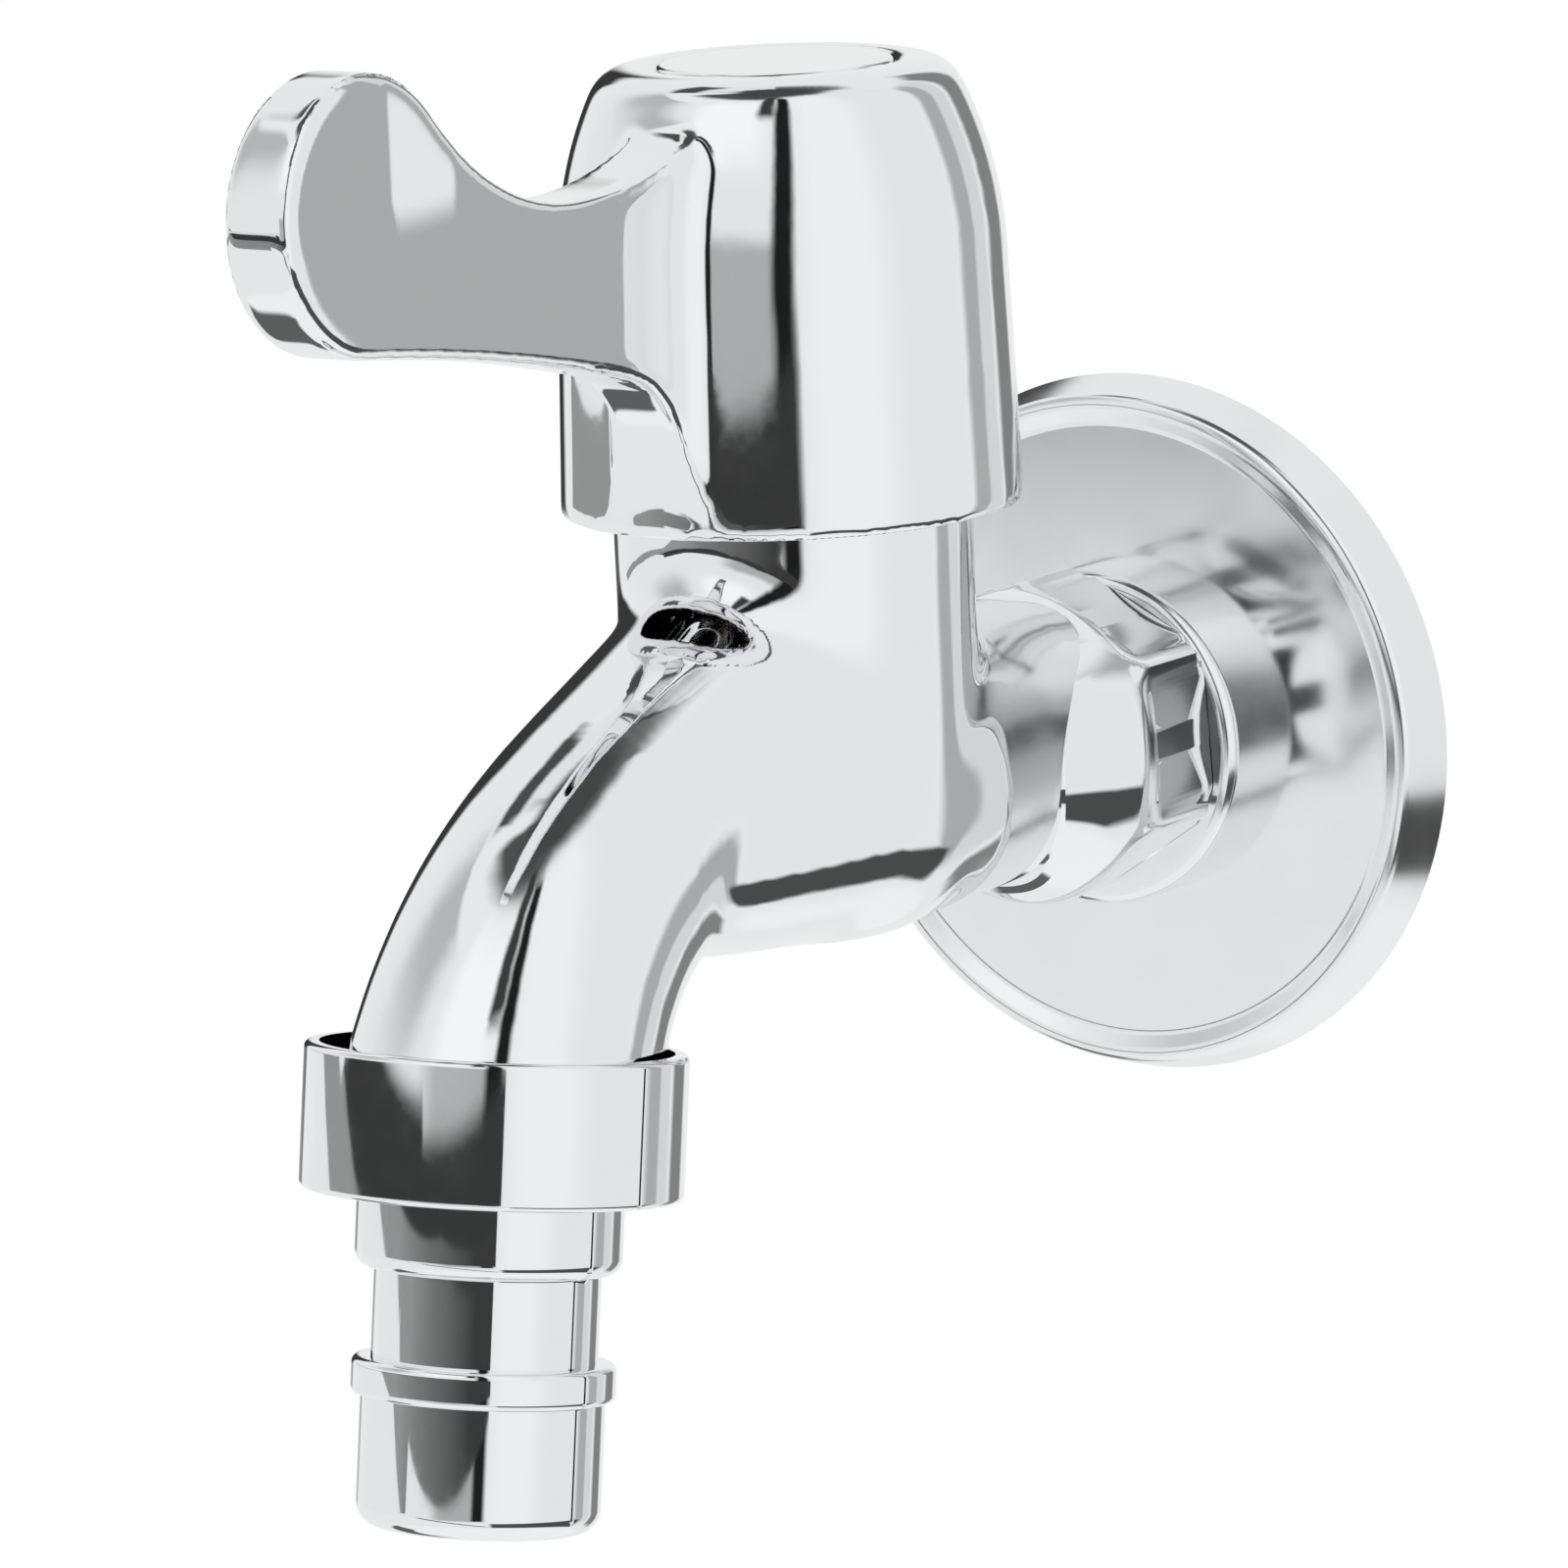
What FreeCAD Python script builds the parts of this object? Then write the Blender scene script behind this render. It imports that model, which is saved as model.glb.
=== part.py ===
# Garden tap with a quarter turn ceramic valve, a lever handle, a wall flange and a removable hose nozzle.
# Millimetres, +Z up. The origin is on the inlet axis in the plane of the wall, and the tap's front faces -Y.

import FreeCAD, Part
import math
import os

import Sketcher

doc = FreeCAD.newDocument("garden_tap")
sheet = doc.addObject("Spreadsheet::Sheet", "sizes")


class Size:
    """A length or an angle that keeps its number for drawing and its sheet formula for binding."""

    def __init__(self, number, formula):
        self.number = float(number)
        self.formula = formula

    def __add__(self, other):
        other = as_size(other)
        return Size(self.number + other.number, f"({self.formula} + {other.formula})")

    def __sub__(self, other):
        other = as_size(other)
        return Size(self.number - other.number, f"({self.formula} - {other.formula})")

    def __mul__(self, other):
        other = as_size(other)
        return Size(self.number * other.number, f"({self.formula} * {other.formula})")

    def __truediv__(self, other):
        other = as_size(other)
        return Size(self.number / other.number, f"({self.formula} / {other.formula})")

    def __radd__(self, other):
        return as_size(other) + self

    def __rsub__(self, other):
        return as_size(other) - self

    def __rmul__(self, other):
        return as_size(other) * self

    def __neg__(self):
        return Size(-self.number, f"(0 - {self.formula})")


def as_size(value):
    return value if isinstance(value, Size) else Size(value, f"{value:.9f}")


def sine(angle):
    return Size(math.sin(math.radians(angle.number)), f"sin({angle.formula})")


def cosine(angle):
    return Size(math.cos(math.radians(angle.number)), f"cos({angle.formula})")


def root(value):
    return Size(math.sqrt(value.number), f"sqrt({value.formula})")


def size(alias, number, meaning):
    """Writes one driving dimension to the sheet and returns it."""
    row = size.rows + 1
    size.rows = row
    sheet.set(f"A{row}", meaning)
    sheet.set(f"B{row}", str(number))
    sheet.setAlias(f"B{row}", alias)
    return Size(number, f"sizes.{alias}")


size.rows = 0
ZERO = Size(0, "0")


def bind(thing, place, value):
    thing.setExpression(place, value.formula)


def origin_plane(body, role):
    """A plane of the body's own origin."""
    for feature in body.Origin.OriginFeatures:
        if feature.Role == role:
            return feature
    raise ValueError(role)


def new_body(name, y=None, z=None, tilt=None):
    """A body named for its piece, moved to its axis and leaned about X if the piece leans."""
    body = doc.addObject("PartDesign::Body", name)
    body.Label = name
    at = FreeCAD.Vector(0, y.number if y else 0, z.number if z else 0)
    lean = FreeCAD.Rotation(FreeCAD.Vector(1, 0, 0), tilt.number if tilt else 0)
    body.Placement = FreeCAD.Placement(at, lean)
    if y:
        bind(body, "Placement.Base.y", y)
    if z:
        bind(body, "Placement.Base.z", z)
    if tilt:
        bind(body, "Placement.Rotation.Angle", tilt)
    return body


def new_sketch(body, name, plane, lift=None, at=None, turn=None):
    """A sketch on one of the body's planes: lifted along its normal, or set at a place and turned about X."""
    sketch = body.newObject("Sketcher::SketchObject", name)
    sketch.AttachmentSupport = [(origin_plane(body, plane), "")]
    sketch.MapMode = "FlatFace"
    base = [ZERO, ZERO, lift if lift else ZERO]
    if at:
        base = list(at)
    lean = FreeCAD.Rotation(FreeCAD.Vector(1, 0, 0), turn.number if turn else 0)
    sketch.AttachmentOffset = FreeCAD.Placement(FreeCAD.Vector(*[b.number for b in base]), lean)
    for letter, value in zip("xyz", base):
        if value is not ZERO:
            bind(sketch, f"AttachmentOffset.Base.{letter}", value)
    if turn:
        bind(sketch, "AttachmentOffset.Rotation.Angle", turn)
    return sketch


def set_coordinate(sketch, kind, geometry, point, value):
    index = sketch.addConstraint(Sketcher.Constraint(kind, -1, 1, geometry, point, value.number))
    if value is not ZERO:
        bind(sketch, f"Constraints[{index}]", value)


def arc_between(start, end, radius, left):
    """The short arc from start to end that keeps its centre on the left or the right of the way."""
    dx, dy = end[0] - start[0], end[1] - start[1]
    half = math.hypot(dx, dy) / 2
    rise = math.sqrt(max(radius * radius - half * half, 0))
    side = 1 if left else -1
    centre = FreeCAD.Vector(
        (start[0] + end[0]) / 2 - side * dy / (2 * half) * rise,
        (start[1] + end[1]) / 2 + side * dx / (2 * half) * rise,
        0,
    )
    circle = Part.Circle(centre, FreeCAD.Vector(0, 0, 1), radius)
    first, last = (start, end) if left else (end, start)
    a = math.atan2(first[1] - centre.y, first[0] - centre.x)
    b = math.atan2(last[1] - centre.y, last[0] - centre.x)
    return Part.ArcOfCircle(circle, a, b if b > a else b + 2 * math.pi)


def outline(sketch, steps):
    """A closed outline. Each step is a corner (x, y), or (x, y, radius, side) where an arc leads on from it.
    The side, left or right, is where the arc's centre lies on the way round."""
    corners = [(s[0].number, s[1].number) for s in steps]
    ends = []
    for k, step in enumerate(steps):
        here, there = corners[k], corners[(k + 1) % len(steps)]
        if len(step) == 2:
            line = Part.LineSegment(FreeCAD.Vector(*here, 0), FreeCAD.Vector(*there, 0))
            geometry = sketch.addGeometry(line, False)
            ends.append((geometry, 1, 2))
        else:
            left = step[3] == "left"
            geometry = sketch.addGeometry(arc_between(here, there, step[2].number, left), False)
            ends.append((geometry, 1, 2) if left else (geometry, 2, 1))
    for k, (geometry, _, last) in enumerate(ends):
        following, first, _ = ends[(k + 1) % len(ends)]
        sketch.addConstraint(Sketcher.Constraint("Coincident", geometry, last, following, first))
    for k, step in enumerate(steps):
        geometry, first, _ = ends[k]
        set_coordinate(sketch, "DistanceX", geometry, first, step[0])
        set_coordinate(sketch, "DistanceY", geometry, first, step[1])
        if len(step) == 4:
            index = sketch.addConstraint(Sketcher.Constraint("Radius", geometry, step[2].number))
            bind(sketch, f"Constraints[{index}]", step[2])


def circle(sketch, radius, x=ZERO, y=ZERO):
    """A circle in a sketch, about its centre."""
    shape = Part.Circle(FreeCAD.Vector(x.number, y.number, 0), FreeCAD.Vector(0, 0, 1), radius.number)
    geometry = sketch.addGeometry(shape, False)
    if x is ZERO and y is ZERO:
        sketch.addConstraint(Sketcher.Constraint("Coincident", geometry, 3, -1, 1))
    else:
        set_coordinate(sketch, "DistanceX", geometry, 3, x)
        set_coordinate(sketch, "DistanceY", geometry, 3, y)
    index = sketch.addConstraint(Sketcher.Constraint("Radius", geometry, radius.number))
    bind(sketch, f"Constraints[{index}]", radius)


def turned(body, name, steps, kind="Revolution", plane="XZ_Plane", axis="V_Axis"):
    """A ring or a solid of revolution, or a turned groove, from half its section."""
    sketch = new_sketch(body, name + "_section", plane)
    outline(sketch, steps)
    feature = body.newObject("PartDesign::" + kind, name)
    feature.Profile = sketch
    feature.ReferenceAxis = (sketch, [axis])
    feature.Angle = 360
    doc.recompute()
    return feature


def box_steps(inner, outer, low, high):
    """The four corners of a ring's half section."""
    return [(inner, low), (outer, low), (outer, high), (inner, high)]


def extruded(body, name, sketch, length, kind="Pad", reverse=False, middle=False):
    """A pad or a pocket of a sketch."""
    feature = body.newObject("PartDesign::" + kind, name)
    feature.Profile = sketch
    feature.Length = length.number
    bind(feature, "Length", length)
    feature.Reversed = reverse
    if middle:
        feature.SideType = "Symmetric"
    doc.recompute()
    return feature


# Where the axes lie: the valve stands up from the inlet, and the nozzle leans forward at the spout's end.
barrel_reach = size("barrel_reach", 51.1, "valve axis in front of the wall")
nozzle_reach = size("nozzle_reach", 43.6, "top of the nozzle nut in front of the valve axis")
nozzle_drop = size("nozzle_drop", 10.65, "top of the nozzle nut below the inlet axis")
nozzle_lean = size("nozzle_lean", 8.5, "lean of the nozzle, in degrees from upright")

# Inlet: threaded tail, shank, seat ring, hexagon for the spanner and swelling.
inlet_thread_radius = size("inlet_thread_radius", 10.478, "half of the G 1/2 thread's 20.955")
inlet_thread_length = size("inlet_thread_length", 11.0, "thread standing behind the wall plane")
inlet_shank_radius = size("inlet_shank_radius", 10.2, "plain shank inside the wall flange")
thread_chamfer = size("thread_chamfer", 1.0, "chamfer at the end of the inlet thread")
inlet_bore_radius = size("inlet_bore_radius", 6.0, "water way of the inlet")
seat_ring_length = size("seat_ring_length", 0.7, "ring between the flange's boss and the hexagon")
seat_ring_radius = size("seat_ring_radius", 12.0, "radius of that ring, which presses the flange to the wall")
hex_flats = size("hex_flats", 24.2, "hexagon across its flats")
hex_length = size("hex_length", 11.1, "length of the hexagon")
hex_turned_radius = size("hex_turned_radius", 13.4, "radius at which the hexagon's corners are turned off")
hex_end_radius = size("hex_end_radius", 12.6, "radius of the hexagon's turned ends")
hex_end_slope = size("hex_end_slope", 0.9, "length of the turned slope at each end of the hexagon")
swell_radius = size("swell_radius", 13.0, "round swelling in front of the hexagon")
swell_length = size("swell_length", 7.6, "length of the swelling")
swell_rounding = size("swell_rounding", 2.0, "rounded front edge of the swelling")
inlet_neck_radius = size("inlet_neck_radius", 9.5, "inlet neck between swelling and barrel")

# Barrel: the upright part that holds the valve.
neck_radius = size("neck_radius", 14.6, "outside of the barrel")
barrel_top = size("barrel_top", 28.95, "rim of the barrel above the inlet axis")
barrel_depth = size("barrel_depth", 9.6, "bottom of the barrel below the inlet axis")
bottom_rounding = size("bottom_rounding", 9.4, "rounding of the barrel's bottom")
valve_thread_radius = size("valve_thread_radius", 10.478, "G 1/2 thread that takes the headwork")
valve_thread_start = size("valve_thread_start", 19.45, "lower end of that thread above the inlet axis")
chamber_radius = size("chamber_radius", 10.0, "valve chamber below the thread")
seat_height = size("seat_height", 8.0, "valve seat above the inlet axis")
seat_hole_radius = size("seat_hole_radius", 4.6, "hole through the valve seat")
inlet_blind_depth = size("inlet_blind_depth", 5.0, "inlet bore past the valve axis")

# Spout: round sections along its middle line, from inside the barrel to the outlet thread.
root_reach = size("spout_root_reach", 3.0, "first section in front of the valve axis")
root_height = size("spout_root_height", 12.55, "first section above the inlet axis")
root_lean = size("spout_root_lean", 20.0, "slope of the middle line there, in degrees")
root_radius = size("spout_root_radius", 11.5, "outside radius there")
upper_reach = size("spout_upper_reach", 13.0, "second section in front of the valve axis")
upper_height = size("spout_upper_height", 8.75, "second section above the inlet axis")
upper_lean = size("spout_upper_lean", 22.0, "slope of the middle line there, in degrees")
upper_radius = size("spout_upper_radius", 11.5, "outside radius there")
middle_reach = size("spout_middle_reach", 24.3, "third section in front of the valve axis")
middle_height = size("spout_middle_height", 4.05, "third section above the inlet axis")
middle_lean = size("spout_middle_lean", 24.5, "slope of the middle line there, in degrees")
middle_radius = size("spout_middle_radius", 11.3, "outside radius there")
lower_reach = size("spout_lower_reach", 33.6, "fourth section in front of the valve axis")
lower_height = size("spout_lower_height", -1.15, "fourth section above the inlet axis")
lower_lean = size("spout_lower_lean", 36.0, "slope of the middle line there, in degrees")
lower_radius = size("spout_lower_radius", 11.4, "outside radius there")
bend_reach = size("spout_bend_reach", 40.3, "fifth section in front of the valve axis")
bend_height = size("spout_bend_height", -8.25, "fifth section above the inlet axis")
bend_lean = size("spout_bend_lean", 58.5, "slope of the middle line there, in degrees")
bend_radius = size("spout_bend_radius", 12.0, "outside radius there")
throat_depth = size("spout_throat_depth", 2.5, "sixth section below the top of the nut")
throat_offset = size("spout_throat_offset", 0.9, "sixth section behind the nozzle axis")
throat_lean = size("spout_throat_lean", 72.0, "slope of the middle line there, in degrees")
throat_radius = size("spout_throat_radius", 12.45, "outside radius there")
end_depth = size("spout_end_depth", 6.0, "last section below the top of the nut")
end_radius = size("spout_end_radius", 12.75, "outside radius there")
port_reach = size("port_reach", 5.0, "start of the spout's water way in front of the valve axis")
port_height = size("port_height", 13.15, "start of that way above the inlet axis")
port_radius = size("port_radius", 4.2, "radius of the way at the valve chamber")
way_rise = size("way_rise", 1.0, "rise of the way above the middle line at the second section")
way_upper_radius = size("way_upper_radius", 5.6, "radius of the way at the second section")
way_middle_radius = size("way_middle_radius", 7.6, "radius of the way at the third section")
way_lower_radius = size("way_lower_radius", 8.6, "radius of the way at the fourth section")
way_bend_radius = size("way_bend_radius", 9.3, "radius of the way at the fifth section")
outlet_thread_radius = size("outlet_thread_radius", 13.2, "half of the G 3/4 thread's 26.4")
outlet_thread_start = size("outlet_thread_start", 3.8, "start of the outlet thread below the top of the nut")
outlet_bore_radius = size("outlet_bore_radius", 10.0, "water way at the outlet")
spout_fillet = size("spout_fillet", 5.5, "fillet where the spout meets the barrel")
inlet_fillet = size("inlet_fillet", 4.5, "fillet where the inlet neck meets the barrel")

# Wall flange: a shallow dish that covers the hole in the wall.
flange_radius = size("flange_radius", 30.0, "flange at the wall")
flange_face = size("flange_face", 3.7, "flat face of the flange in front of the wall")
flange_rim_radius = size("flange_rim_radius", 28.6, "front edge of the rim")
flange_rim_height = size("flange_rim_height", 4.5, "front edge of the rim in front of the wall")
flange_rim_width = size("flange_rim_width", 1.6, "width of the raised rim")
flange_rim_rounding = size("flange_rim_rounding", 0.7, "rounded top of the rim")
flange_wall = size("flange_wall", 1.3, "sheet of the flange")
flange_boss_radius = size("flange_boss_radius", 14.3, "raised boss around the shank")
flange_boss_height = size("flange_boss_height", 8.8, "front of the boss in front of the wall")
flange_boss_rounding = size("flange_boss_rounding", 1.2, "rounded edge of the boss")
flange_drop = size("flange_drop", 1.05, "how far the loose flange hangs down on the shank")

# Hose nozzle: nut ring, steps for the hose and its water way.
nut_radius = size("nut_radius", 15.15, "outside of the nut ring")
nut_length = size("nut_length", 11.5, "length of the nut ring")
nut_rounding = size("nut_rounding", 0.5, "rounded edges of the nut ring")
nut_mouth_radius = size("nut_mouth_radius", 14.0, "plain mouth of the nut ring")
nut_mouth_depth = size("nut_mouth_depth", 3.6, "depth of that mouth")
nut_thread_play = size("nut_thread_play", 0.05, "play of the outlet thread in the nut")
nut_floor = size("nut_floor", 1.5, "floor of the nut ring")
step_radius = size("step_radius", 10.55, "step below the nut ring")
step_end = size("step_end", 17.6, "lower end of the step")
step_rounding = size("step_rounding", 1.4, "rounded lower edge of the step")
waist_radius = size("waist_radius", 8.95, "groove for the hose clamp")
waist_end = size("waist_end", 24.6, "lower end of that groove")
bead_radius = size("bead_radius", 10.45, "bead that holds the hose")
bead_end = size("bead_end", 27.6, "lower end of the bead")
bead_rounding = size("bead_rounding", 0.6, "rounded edges of the bead")
tail_radius = size("tail_radius", 9.65, "tail that enters the hose first")
nozzle_length = size("nozzle_length", 38.0, "whole length of the nozzle")
tail_rounding = size("tail_rounding", 1.9, "rounded lower edge of the tail")
nozzle_bore_radius = size("nozzle_bore_radius", 6.9, "water way of the nozzle")
washer_thickness = size("nozzle_washer_thickness", 1.5, "flat washer in the nut")
washer_radius = size("nozzle_washer_radius", 12.9, "outside of that washer")
washer_hole_radius = size("nozzle_washer_hole_radius", 7.6, "hole of that washer, wider than the water way")

# Lever handle: hood over the barrel, with a flat lever towards the front.
rim_height = size("rim_height", 25.61, "lower rim of the hood above the inlet axis")
rim_radius = size("rim_radius", 18.8, "hood at its rim")
shoulder_radius = size("shoulder_radius", 18.16, "hood where its shoulder starts")
shoulder_height = size("shoulder_height", 46.55, "start of the shoulder above the inlet axis")
shoulder_curve = size("shoulder_curve", 34.0, "radius of the shoulder")
top_curve = size("top_curve", 3.6, "radius of the hood's top edge")
hood_top = size("hood_top", 61.85, "flat top of the hood above the inlet axis")
hood_wall = size("hood_wall", 1.9, "wall of the hood")
hood_roof = size("hood_roof", 7.0, "thickness of the roof around the hub")
lever_thickness = size("lever_thickness", 6.5, "thickness of the lever")
lobe_reach = size("lobe_reach", 58.6, "middle of the finger lobe in front of the valve axis")
lobe_height = size("lobe_height", 57.05, "middle of the finger lobe above the inlet axis")
lobe_radius = size("lobe_radius", 11.0, "radius of the finger lobe")
under_lean = size("under_lean", 7.0, "slope of the lever's under edge at the lobe, in degrees")
under_curve = size("under_curve", 260.0, "radius of the lever's under edge")
cove_reach = size("cove_reach", 26.0, "start of the cove under the lever, in front of the valve axis")
cove_height = size("cove_height", 39.75, "start of the cove above the inlet axis")
cove_curve = size("cove_curve", 8.0, "radius of the cove")
cove_foot_reach = size("cove_foot_reach", 19.8, "end of the cove's curve in front of the valve axis")
cove_foot_height = size("cove_foot_height", 33.35, "end of the cove's curve above the inlet axis")
cove_rim_reach = size("cove_rim_reach", 17.9, "cove at the hood's rim, in front of the valve axis")
saddle_reach = size("saddle_reach", 30.6, "lowest point of the lever's upper edge in front of the valve axis")
saddle_height = size("saddle_height", 54.75, "lowest point of the upper edge above the inlet axis")
saddle_rise_curve = size("saddle_rise_curve", 36.0, "radius of the upper edge towards the hood")
flank_fillet = size("flank_fillet", 4.0, "fillet between the lever's flanks and the hood")
lever_root_reach = size("lever_root_reach", 14.0, "inner end of the lever inside the hood")
lever_edge = size("lever_edge", 0.8, "rounded edges of the lever")
cavity_top_radius = size("cavity_top_radius", 14.4, "hood's hollow under the roof")
hub_radius = size("hub_radius", 8.4, "hub inside the hood")
hub_low = size("hub_low", 44.95, "lower end of the hub above the inlet axis")
web_low = size("web_low", 54.25, "lower face of the web that the screw pulls on")
web_thickness = size("web_thickness", 2.6, "thickness of that web")
cap_radius = size("cap_radius", 9.6, "index cap")
cap_thickness = size("cap_thickness", 1.4, "disc of the index cap")
cap_edge = size("cap_edge", 0.4, "bevel around the index cap")
cap_play = size("cap_play", 0.12, "gap around the index cap")
cap_skirt_radius = size("cap_skirt_radius", 7.6, "skirt under the index cap")
cap_skirt_wall = size("cap_skirt_wall", 0.9, "wall of that skirt")
cap_skirt_length = size("cap_skirt_length", 2.2, "length of that skirt")

# Headwork: the quarter turn valve that screws into the barrel.
bonnet_play = size("bonnet_play", 0.03, "play of the headwork's thread in the barrel")
bonnet_sleeve_radius = size("bonnet_sleeve_radius", 8.7, "sleeve around the discs")
bonnet_inside_radius = size("bonnet_inside_radius", 7.2, "inside of that sleeve")
bonnet_flange_radius = size("bonnet_flange_radius", 13.4, "flange on the barrel's rim")
bonnet_flange_thickness = size("bonnet_flange_thickness", 2.0, "thickness of that flange")
gasket_radius = size("gasket_radius", 13.0, "outside of the gasket")
gasket_thickness = size("gasket_thickness", 1.0, "gasket under the flange")
bonnet_hex_flats = size("bonnet_hex_flats", 22.0, "headwork's hexagon across its flats")
bonnet_hex_length = size("bonnet_hex_length", 5.0, "length of that hexagon")
bonnet_nose_radius = size("bonnet_nose_radius", 7.6, "nose around the spindle")
bonnet_nose_top = size("bonnet_nose_top", 42.55, "top of the nose above the inlet axis")
bonnet_chamfer = size("bonnet_chamfer", 0.6, "bevel at the top of the nose")
window_width = size("window_width", 8.0, "side windows of the sleeve")
spindle_radius = size("spindle_radius", 4.9, "stem of the spindle")
spindle_play = size("spindle_play", 0.05, "running play of the spindle")
thrust_collar_radius = size("thrust_collar_radius", 6.9, "thrust collar of the spindle")
thrust_collar_thickness = size("thrust_collar_thickness", 2.4, "thickness of that collar")
slip_radius = size("slip_radius", 5.7, "outside of the slip washer")
slip_thickness = size("slip_thickness", 0.8, "slip washer above the collar")
oring_wire = size("oring_wire", 1.5, "section of the spindle's O rings")
oring_gap = size("oring_gap", 0.02, "film between an O ring and the bore it turns in")
oring_groove_ease = size("oring_groove_ease", 0.15, "play beside an O ring in its groove")
oring_lower_height = size("oring_lower_height", 28.95, "lower O ring above the inlet axis")
oring_upper_height = size("oring_upper_height", 35.45, "upper O ring above the inlet axis")
circlip_thickness = size("circlip_thickness", 0.8, "circlip above the nose")
circlip_radius = size("circlip_radius", 6.6, "outside of the circlip")
circlip_groove_depth = size("circlip_groove_depth", 0.8, "groove for the circlip")
circlip_gap = size("circlip_gap", 4.0, "opening of the circlip")
spline_radius = size("spline_radius", 3.95, "tips of the spindle's splines")
spline_count = size("spline_count", 20, "number of splines")
spline_width = size("spline_width", 0.9, "width of the grooves between the splines")
spline_depth = size("spline_depth", 0.45, "depth of the splines")
spline_margin = size("spline_margin", 0.3, "how far a spline's cut or rib runs past its surface")
spline_play = size("spline_play", 0.03, "play of the splines in the bush")
spline_low = size("spline_low", 45.35, "lower end of the splines above the inlet axis")
spindle_top = size("spindle_top", 52.95, "top of the spindle above the inlet axis")
bush_flats = size("bush_flats", 11.0, "bush in the hub across its flats")
bush_play = size("bush_play", 0.04, "play of the bush in the hub")
disc_radius = size("disc_radius", 6.9, "ceramic discs")
disc_thickness = size("disc_thickness", 3.0, "thickness of each ceramic disc")
disc_gap = size("disc_gap", 0.03, "water film between the discs")
disc_port_radius = size("disc_port_radius", 4.7, "outside of the discs' openings")
disc_port_inner = size("disc_port_inner", 2.2, "inside of those openings")
disc_port_angle = size("disc_port_angle", 36.0, "half angle of each opening, in degrees")
disc_ear_width = size("disc_ear_width", 2.8, "ears that hold the fixed disc in the sleeve")
flow_gap = size("flow_gap", 3.4, "space above the moving disc, behind the windows")
disc_slot_width = size("disc_slot_width", 3.2, "slot that the spindle's tongue turns")
disc_slot_depth = size("disc_slot_depth", 1.4, "depth of that slot")
tongue_play = size("tongue_play", 0.06, "play of the tongue in the slot")
tongue_length = size("tongue_length", 11.0, "tongue of the spindle across the disc")
sleeve_gap = size("sleeve_gap", 0.3, "gap between the sleeve's lower end and the seat")
seat_seal_thickness = size("seat_seal_thickness", 2.0, "rubber seal between fixed disc and seat")
seat_seal_width = size("seat_seal_width", 1.4, "width of that seal's ring")
seat_seal_radius = size("seat_seal_radius", 7.0, "outside of that seal")
support_ring_wall = size("support_ring_wall", 0.7, "ring that backs the seal from inside")
stop_radius = size("stop_radius", 5.9, "inside of the stop rib in the sleeve")
stop_half_angle = size("stop_half_angle", 15.0, "half angle of that rib, in degrees")
quarter_turn = size("quarter_turn", 90.0, "turn of the handle from shut to open, in degrees")
stop_ease = size("stop_ease", 1.0, "play at each end of the quarter turn, in degrees")
stop_depth = size("stop_depth", 0.2, "play between the rib and the collar's notch")
screw_radius = size("screw_radius", 2.0, "handle screw's thread")
screw_length = size("screw_length", 10.0, "handle screw below its head")
screw_head_radius = size("screw_head_radius", 3.5, "handle screw's head")
screw_recess_width = size("screw_recess_width", 1.0, "width of the cross in the screw's head")
screw_recess_length = size("screw_recess_length", 4.2, "length of that cross")
screw_recess_depth = size("screw_recess_depth", 1.3, "depth of that cross")
screw_head_height = size("screw_head_height", 2.3, "height of that head")
screw_chamfer = size("screw_chamfer", 0.4, "bevel of the screw's tip and head")
screw_play = size("screw_play", 0.2, "play of the screw in the web and the bush")
screw_washer_radius = size("screw_washer_radius", 4.4, "washer under the screw's head")
screw_washer_thickness = size("screw_washer_thickness", 0.7, "thickness of that washer")
face_gap = size("face_gap", 0.02, "gap between faces that only rest on each other")
cut_margin = size("cut_margin", 1.0, "how far a cut runs past the metal")

doc.recompute()

# Places that follow from the sizes above.
outlet_end = nut_length - nut_floor - washer_thickness
nozzle_y = -(barrel_reach + nozzle_reach)
valve_y = -barrel_reach
fixed_disc_low = seat_height + seat_seal_thickness
fixed_disc_high = fixed_disc_low + disc_thickness
moving_disc_low = fixed_disc_high + disc_gap
moving_disc_high = moving_disc_low + disc_thickness
thrust_low = moving_disc_high + flow_gap
thrust_high = thrust_low + thrust_collar_thickness
slip_low = thrust_high + face_gap
slip_high = slip_low + slip_thickness
gasket_low = barrel_top + face_gap
gasket_high = gasket_low + gasket_thickness
bonnet_flange_low = gasket_high + face_gap
bonnet_flange_high = bonnet_flange_low + bonnet_flange_thickness
circlip_low = bonnet_nose_top + spindle_play
circlip_high = circlip_low + circlip_thickness
web_high = web_low + web_thickness
cap_low = hood_top - cap_thickness
screw_seat = web_high + screw_washer_thickness + 2 * face_gap


def along_nozzle(depth, offset):
    """Height and reach, from the valve axis, of a place down the nozzle axis and behind it."""
    forward = nozzle_reach + depth * sine(nozzle_lean) - offset * cosine(nozzle_lean)
    height = -nozzle_drop - depth * cosine(nozzle_lean) - offset * sine(nozzle_lean)
    return forward, height


def spout_stations():
    """Reach, height, slope and radius of each section of the spout."""
    upright = 90 - nozzle_lean
    throat = along_nozzle(throat_depth, throat_offset)
    end = along_nozzle(end_depth, ZERO)
    return [
        (root_reach, root_height, root_lean, root_radius),
        (upper_reach, upper_height, upper_lean, upper_radius),
        (middle_reach, middle_height, middle_lean, middle_radius),
        (lower_reach, lower_height, lower_lean, lower_radius),
        (bend_reach, bend_height, bend_lean, bend_radius),
        (throat[0], throat[1], throat_lean, throat_radius),
        (end[0], end[1], upright, end_radius),
    ]


def section_circle(body, name, reach, height, lean, radius):
    """A circle square to the spout's middle line."""
    sketch = new_sketch(body, name, "XY_Plane", at=(ZERO, -reach, height), turn=90 + lean)
    circle(sketch, radius)
    return sketch


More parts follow.
